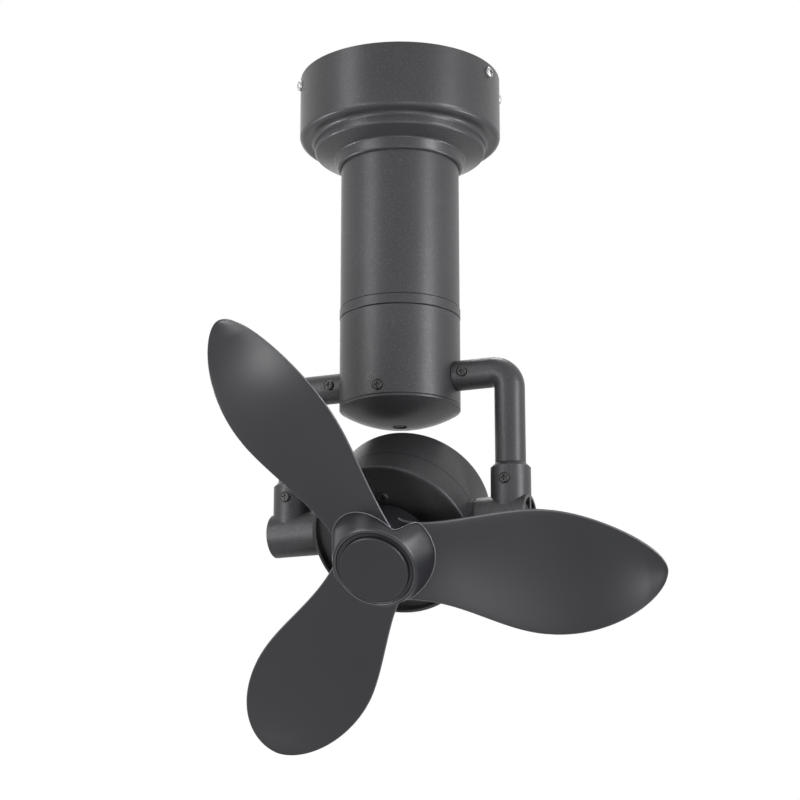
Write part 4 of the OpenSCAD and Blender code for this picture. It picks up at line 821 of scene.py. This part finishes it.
# Metres: the fan's middle, the floor's radius, where the floor begins to run into the
# white and where it has done so, and how far the camera sees
MIDDLE = Vector((0, 0, -0.28))
FLOOR_R = 80.0
FADE_START = 5.0
FADE_END = 40.0
CLIP_END = 200.0
SENSOR_WIDTH = 36.0     # millimetres

# Name, azimuth and elevation in degrees, distance, width and height, power setting
LAMPS = (
    ("left_softbox", -48, 12, 1.6, (0.45, 1.5), "left_power"),
    ("left_low_softbox", -32, -15, 1.5, (0.35, 0.9), "left_low_power"),
    ("right_softbox", 65, 2, 1.6, (0.42, 1.3), "right_power"),
    ("right_low_softbox", 25, -32, 1.4, (0.5, 0.5), "right_low_power"),
    ("back_softbox", -165, 15, 1.6, (1.0, 1.0), "back_power"),
    ("rim_lamp", 185, 65, 1.5, (0.5, 0.5), "rim_power"),
)

# Small lamps behind a honeycomb grid, aimed at the canopy's steps alone
CANOPY = Vector((0, 0, -0.06))
GRID_SPREAD = math.radians(13)
CANOPY_LAMP_DISTANCE = 1.3
CANOPY_LAMP_SIZE = (0.25, 0.25)
CANOPY_LAMPS = (("left_canopy_lamp", -92, -34), ("right_canopy_lamp", 98, -38))


def at_direction(azimuth, elevation, distance, centre=MIDDLE):
    """A point as seen from a centre; azimuth 0 is the front, positive is to the right."""
    turn, rise = math.radians(azimuth), math.radians(elevation)
    level = math.cos(rise)
    return centre + distance * Vector((math.sin(turn) * level, -math.cos(turn) * level, math.sin(rise)))


def softbox(name, centre, aim, size, power, spread=math.pi):
    """An area lamp at centre that looks at aim."""
    lamp = bpy.data.lights.new(name, "AREA")
    lamp.shape = "RECTANGLE"
    lamp.size, lamp.size_y = size
    lamp.energy = power
    lamp.spread = spread
    lamp_object = bpy.data.objects.new(name, lamp)
    lamp_object.location = centre
    lamp_object.rotation_euler = (Vector(aim) - Vector(centre)).to_track_quat("-Z", "Y").to_euler()
    bpy.context.scene.collection.objects.link(lamp_object)


def seen_directly(tree):
    """1 for what the camera sees, also in a reflection or through glass; 0 for light."""
    path = node_in(tree, "ShaderNodeLightPath", -800, 300).outputs
    direct = math_node(tree, "MAXIMUM", path["Is Camera Ray"], path["Is Transmission Ray"], -600, 300)
    return math_node(tree, "MAXIMUM", direct, path["Is Glossy Ray"], -400, 300)


def make_world(stage):
    """White behind the object for the camera and mirrors, an even soft grey for its light."""
    world = bpy.data.worlds.new("studio")
    bpy.context.scene.world = world
    world.use_nodes = True
    tree = world.node_tree
    tree.nodes.clear()
    output = node_in(tree, "ShaderNodeOutputWorld", 600, 0)
    backdrop = node_in(tree, "ShaderNodeBackground", 0, 100)
    backdrop.inputs["Color"].default_value = (1, 1, 1, 1)
    even = node_in(tree, "ShaderNodeBackground", 0, -100)
    even.inputs["Color"].default_value = (1, 1, 1, 1)
    even.inputs["Strength"].default_value = stage.ambient
    mix = node_in(tree, "ShaderNodeMixShader", 300, 0)
    tree.links.new(seen_directly(tree), mix.inputs["Fac"])
    tree.links.new(even.outputs["Background"], mix.inputs[1])
    tree.links.new(backdrop.outputs["Background"], mix.inputs[2])
    tree.links.new(mix.outputs["Shader"], output.inputs["Surface"])


def make_floor(stage):
    """A plain pale floor well below the fan, which runs into the white behind it."""
    disc = bmesh.new()
    bmesh.ops.create_circle(disc, cap_ends=True, segments=96, radius=FLOOR_R)
    bmesh.ops.translate(disc, verts=disc.verts, vec=(0, 0, -stage.floor_drop))
    mesh = bpy.data.meshes.new("floor")
    disc.to_mesh(mesh)
    disc.free()
    floor = bpy.data.objects.new("floor", mesh)
    bpy.context.scene.collection.objects.link(floor)
    material = surface(
        "pale_floor", "moulded_grain",
        {"Color": stage.floor_colour, "Grains per metre": 120.0, "Roughness": 0.85},
        bump=0.2, bump_depth=0.3 * MM,
    )
    tree = material.node_tree
    shader = tree.nodes["Principled BSDF"]
    place = node_in(tree, "ShaderNodeNewGeometry", -800, 600)
    away = node_in(tree, "ShaderNodeVectorMath", -600, 600, operation="LENGTH")
    tree.links.new(place.outputs["Position"], away.inputs[0])
    fade = map_range(
        tree, away.outputs["Value"], (FADE_START, FADE_END, stage.floor_glow, 1.0), -400, 600,
        interpolation_type="SMOOTHSTEP",
    )
    glow = math_node(tree, "MULTIPLY", seen_directly(tree), fade, -200, 400)
    tree.links.new(glow, shader.inputs["Emission Strength"])
    shader.inputs["Emission Color"].default_value = (1, 1, 1, 1)
    mesh.materials.append(material)


def make_camera(stage):
    """A camera below the ceiling that looks up at the fan."""
    camera = bpy.data.cameras.new("camera")
    camera.lens = stage.focal
    camera.sensor_width = SENSOR_WIDTH
    camera.clip_end = CLIP_END
    camera_object = bpy.data.objects.new("camera", camera)
    camera_object.location = (
        stage.distance * math.sin(stage.azimuth), -stage.distance * math.cos(stage.azimuth), stage.height
    )
    camera_object.rotation_euler = (math.pi / 2 + stage.pitch, 0, stage.azimuth)
    bpy.context.scene.collection.objects.link(camera_object)
    bpy.context.scene.camera = camera_object


class FAN_OT_stage(bpy.types.Operator):
    """Adds the floor, the lamps, the white surroundings and the camera"""

    bl_idname = "fan.stage"
    bl_label = "Stage"

    def execute(self, context):
        stage = context.scene.fan_stage
        context.scene.view_settings.view_transform = "Standard"
        make_world(stage)
        make_floor(stage)
        make_camera(stage)
        for name, azimuth, elevation, distance, size, power in LAMPS:
            softbox(name, at_direction(azimuth, elevation, distance), MIDDLE, size, getattr(stage, power))
        for name, azimuth, elevation in CANOPY_LAMPS:
            place = at_direction(azimuth, elevation, CANOPY_LAMP_DISTANCE, CANOPY)
            softbox(name, place, CANOPY, CANOPY_LAMP_SIZE, stage.canopy_power, GRID_SPREAD)
        return {"FINISHED"}


# ---------- panel and run ----------

OPERATORS = (
    FAN_OT_finish_housings, FAN_OT_finish_screws, FAN_OT_finish_inner_pieces,
    FAN_OT_propeller, FAN_OT_stage,
)


class FAN_PT_pieces(bpy.types.Panel):
    """Lists the fan's finishes and pieces"""

    bl_label = "Orbital Ceiling Fan"
    bl_idname = "FAN_PT_pieces"
    bl_space_type = "VIEW_3D"
    bl_region_type = "UI"
    bl_category = "Fan"

    def draw(self, context):
        for operator in OPERATORS:
            self.layout.operator(operator.bl_idname)
        for group in (context.scene.fan_finish, context.scene.fan_propeller, context.scene.fan_stage):
            box = self.layout.box()
            for prop in group.bl_rna.properties:
                if prop.identifier not in {"rna_type", "name"}:
                    box.prop(group, prop.identifier)


CLASSES = (FinishSettings, PropellerSettings, StageSettings, *OPERATORS, FAN_PT_pieces)


def register():
    for cls in CLASSES:
        bpy.utils.register_class(cls)
    bpy.types.Scene.fan_finish = bpy.props.PointerProperty(type=FinishSettings)
    bpy.types.Scene.fan_propeller = bpy.props.PointerProperty(type=PropellerSettings)
    bpy.types.Scene.fan_stage = bpy.props.PointerProperty(type=StageSettings)


def unregister():
    del bpy.types.Scene.fan_stage
    del bpy.types.Scene.fan_propeller
    del bpy.types.Scene.fan_finish
    for cls in reversed(CLASSES):
        bpy.utils.unregister_class(cls)


def run_operator(operator):
    """Calls an operator by its name, as its button does."""
    group, name = operator.bl_idname.split(".")
    getattr(getattr(bpy.ops, group), name)()


def main():
    register()
    for operator in OPERATORS:
        run_operator(operator)


if __name__ == "__main__":
    main()
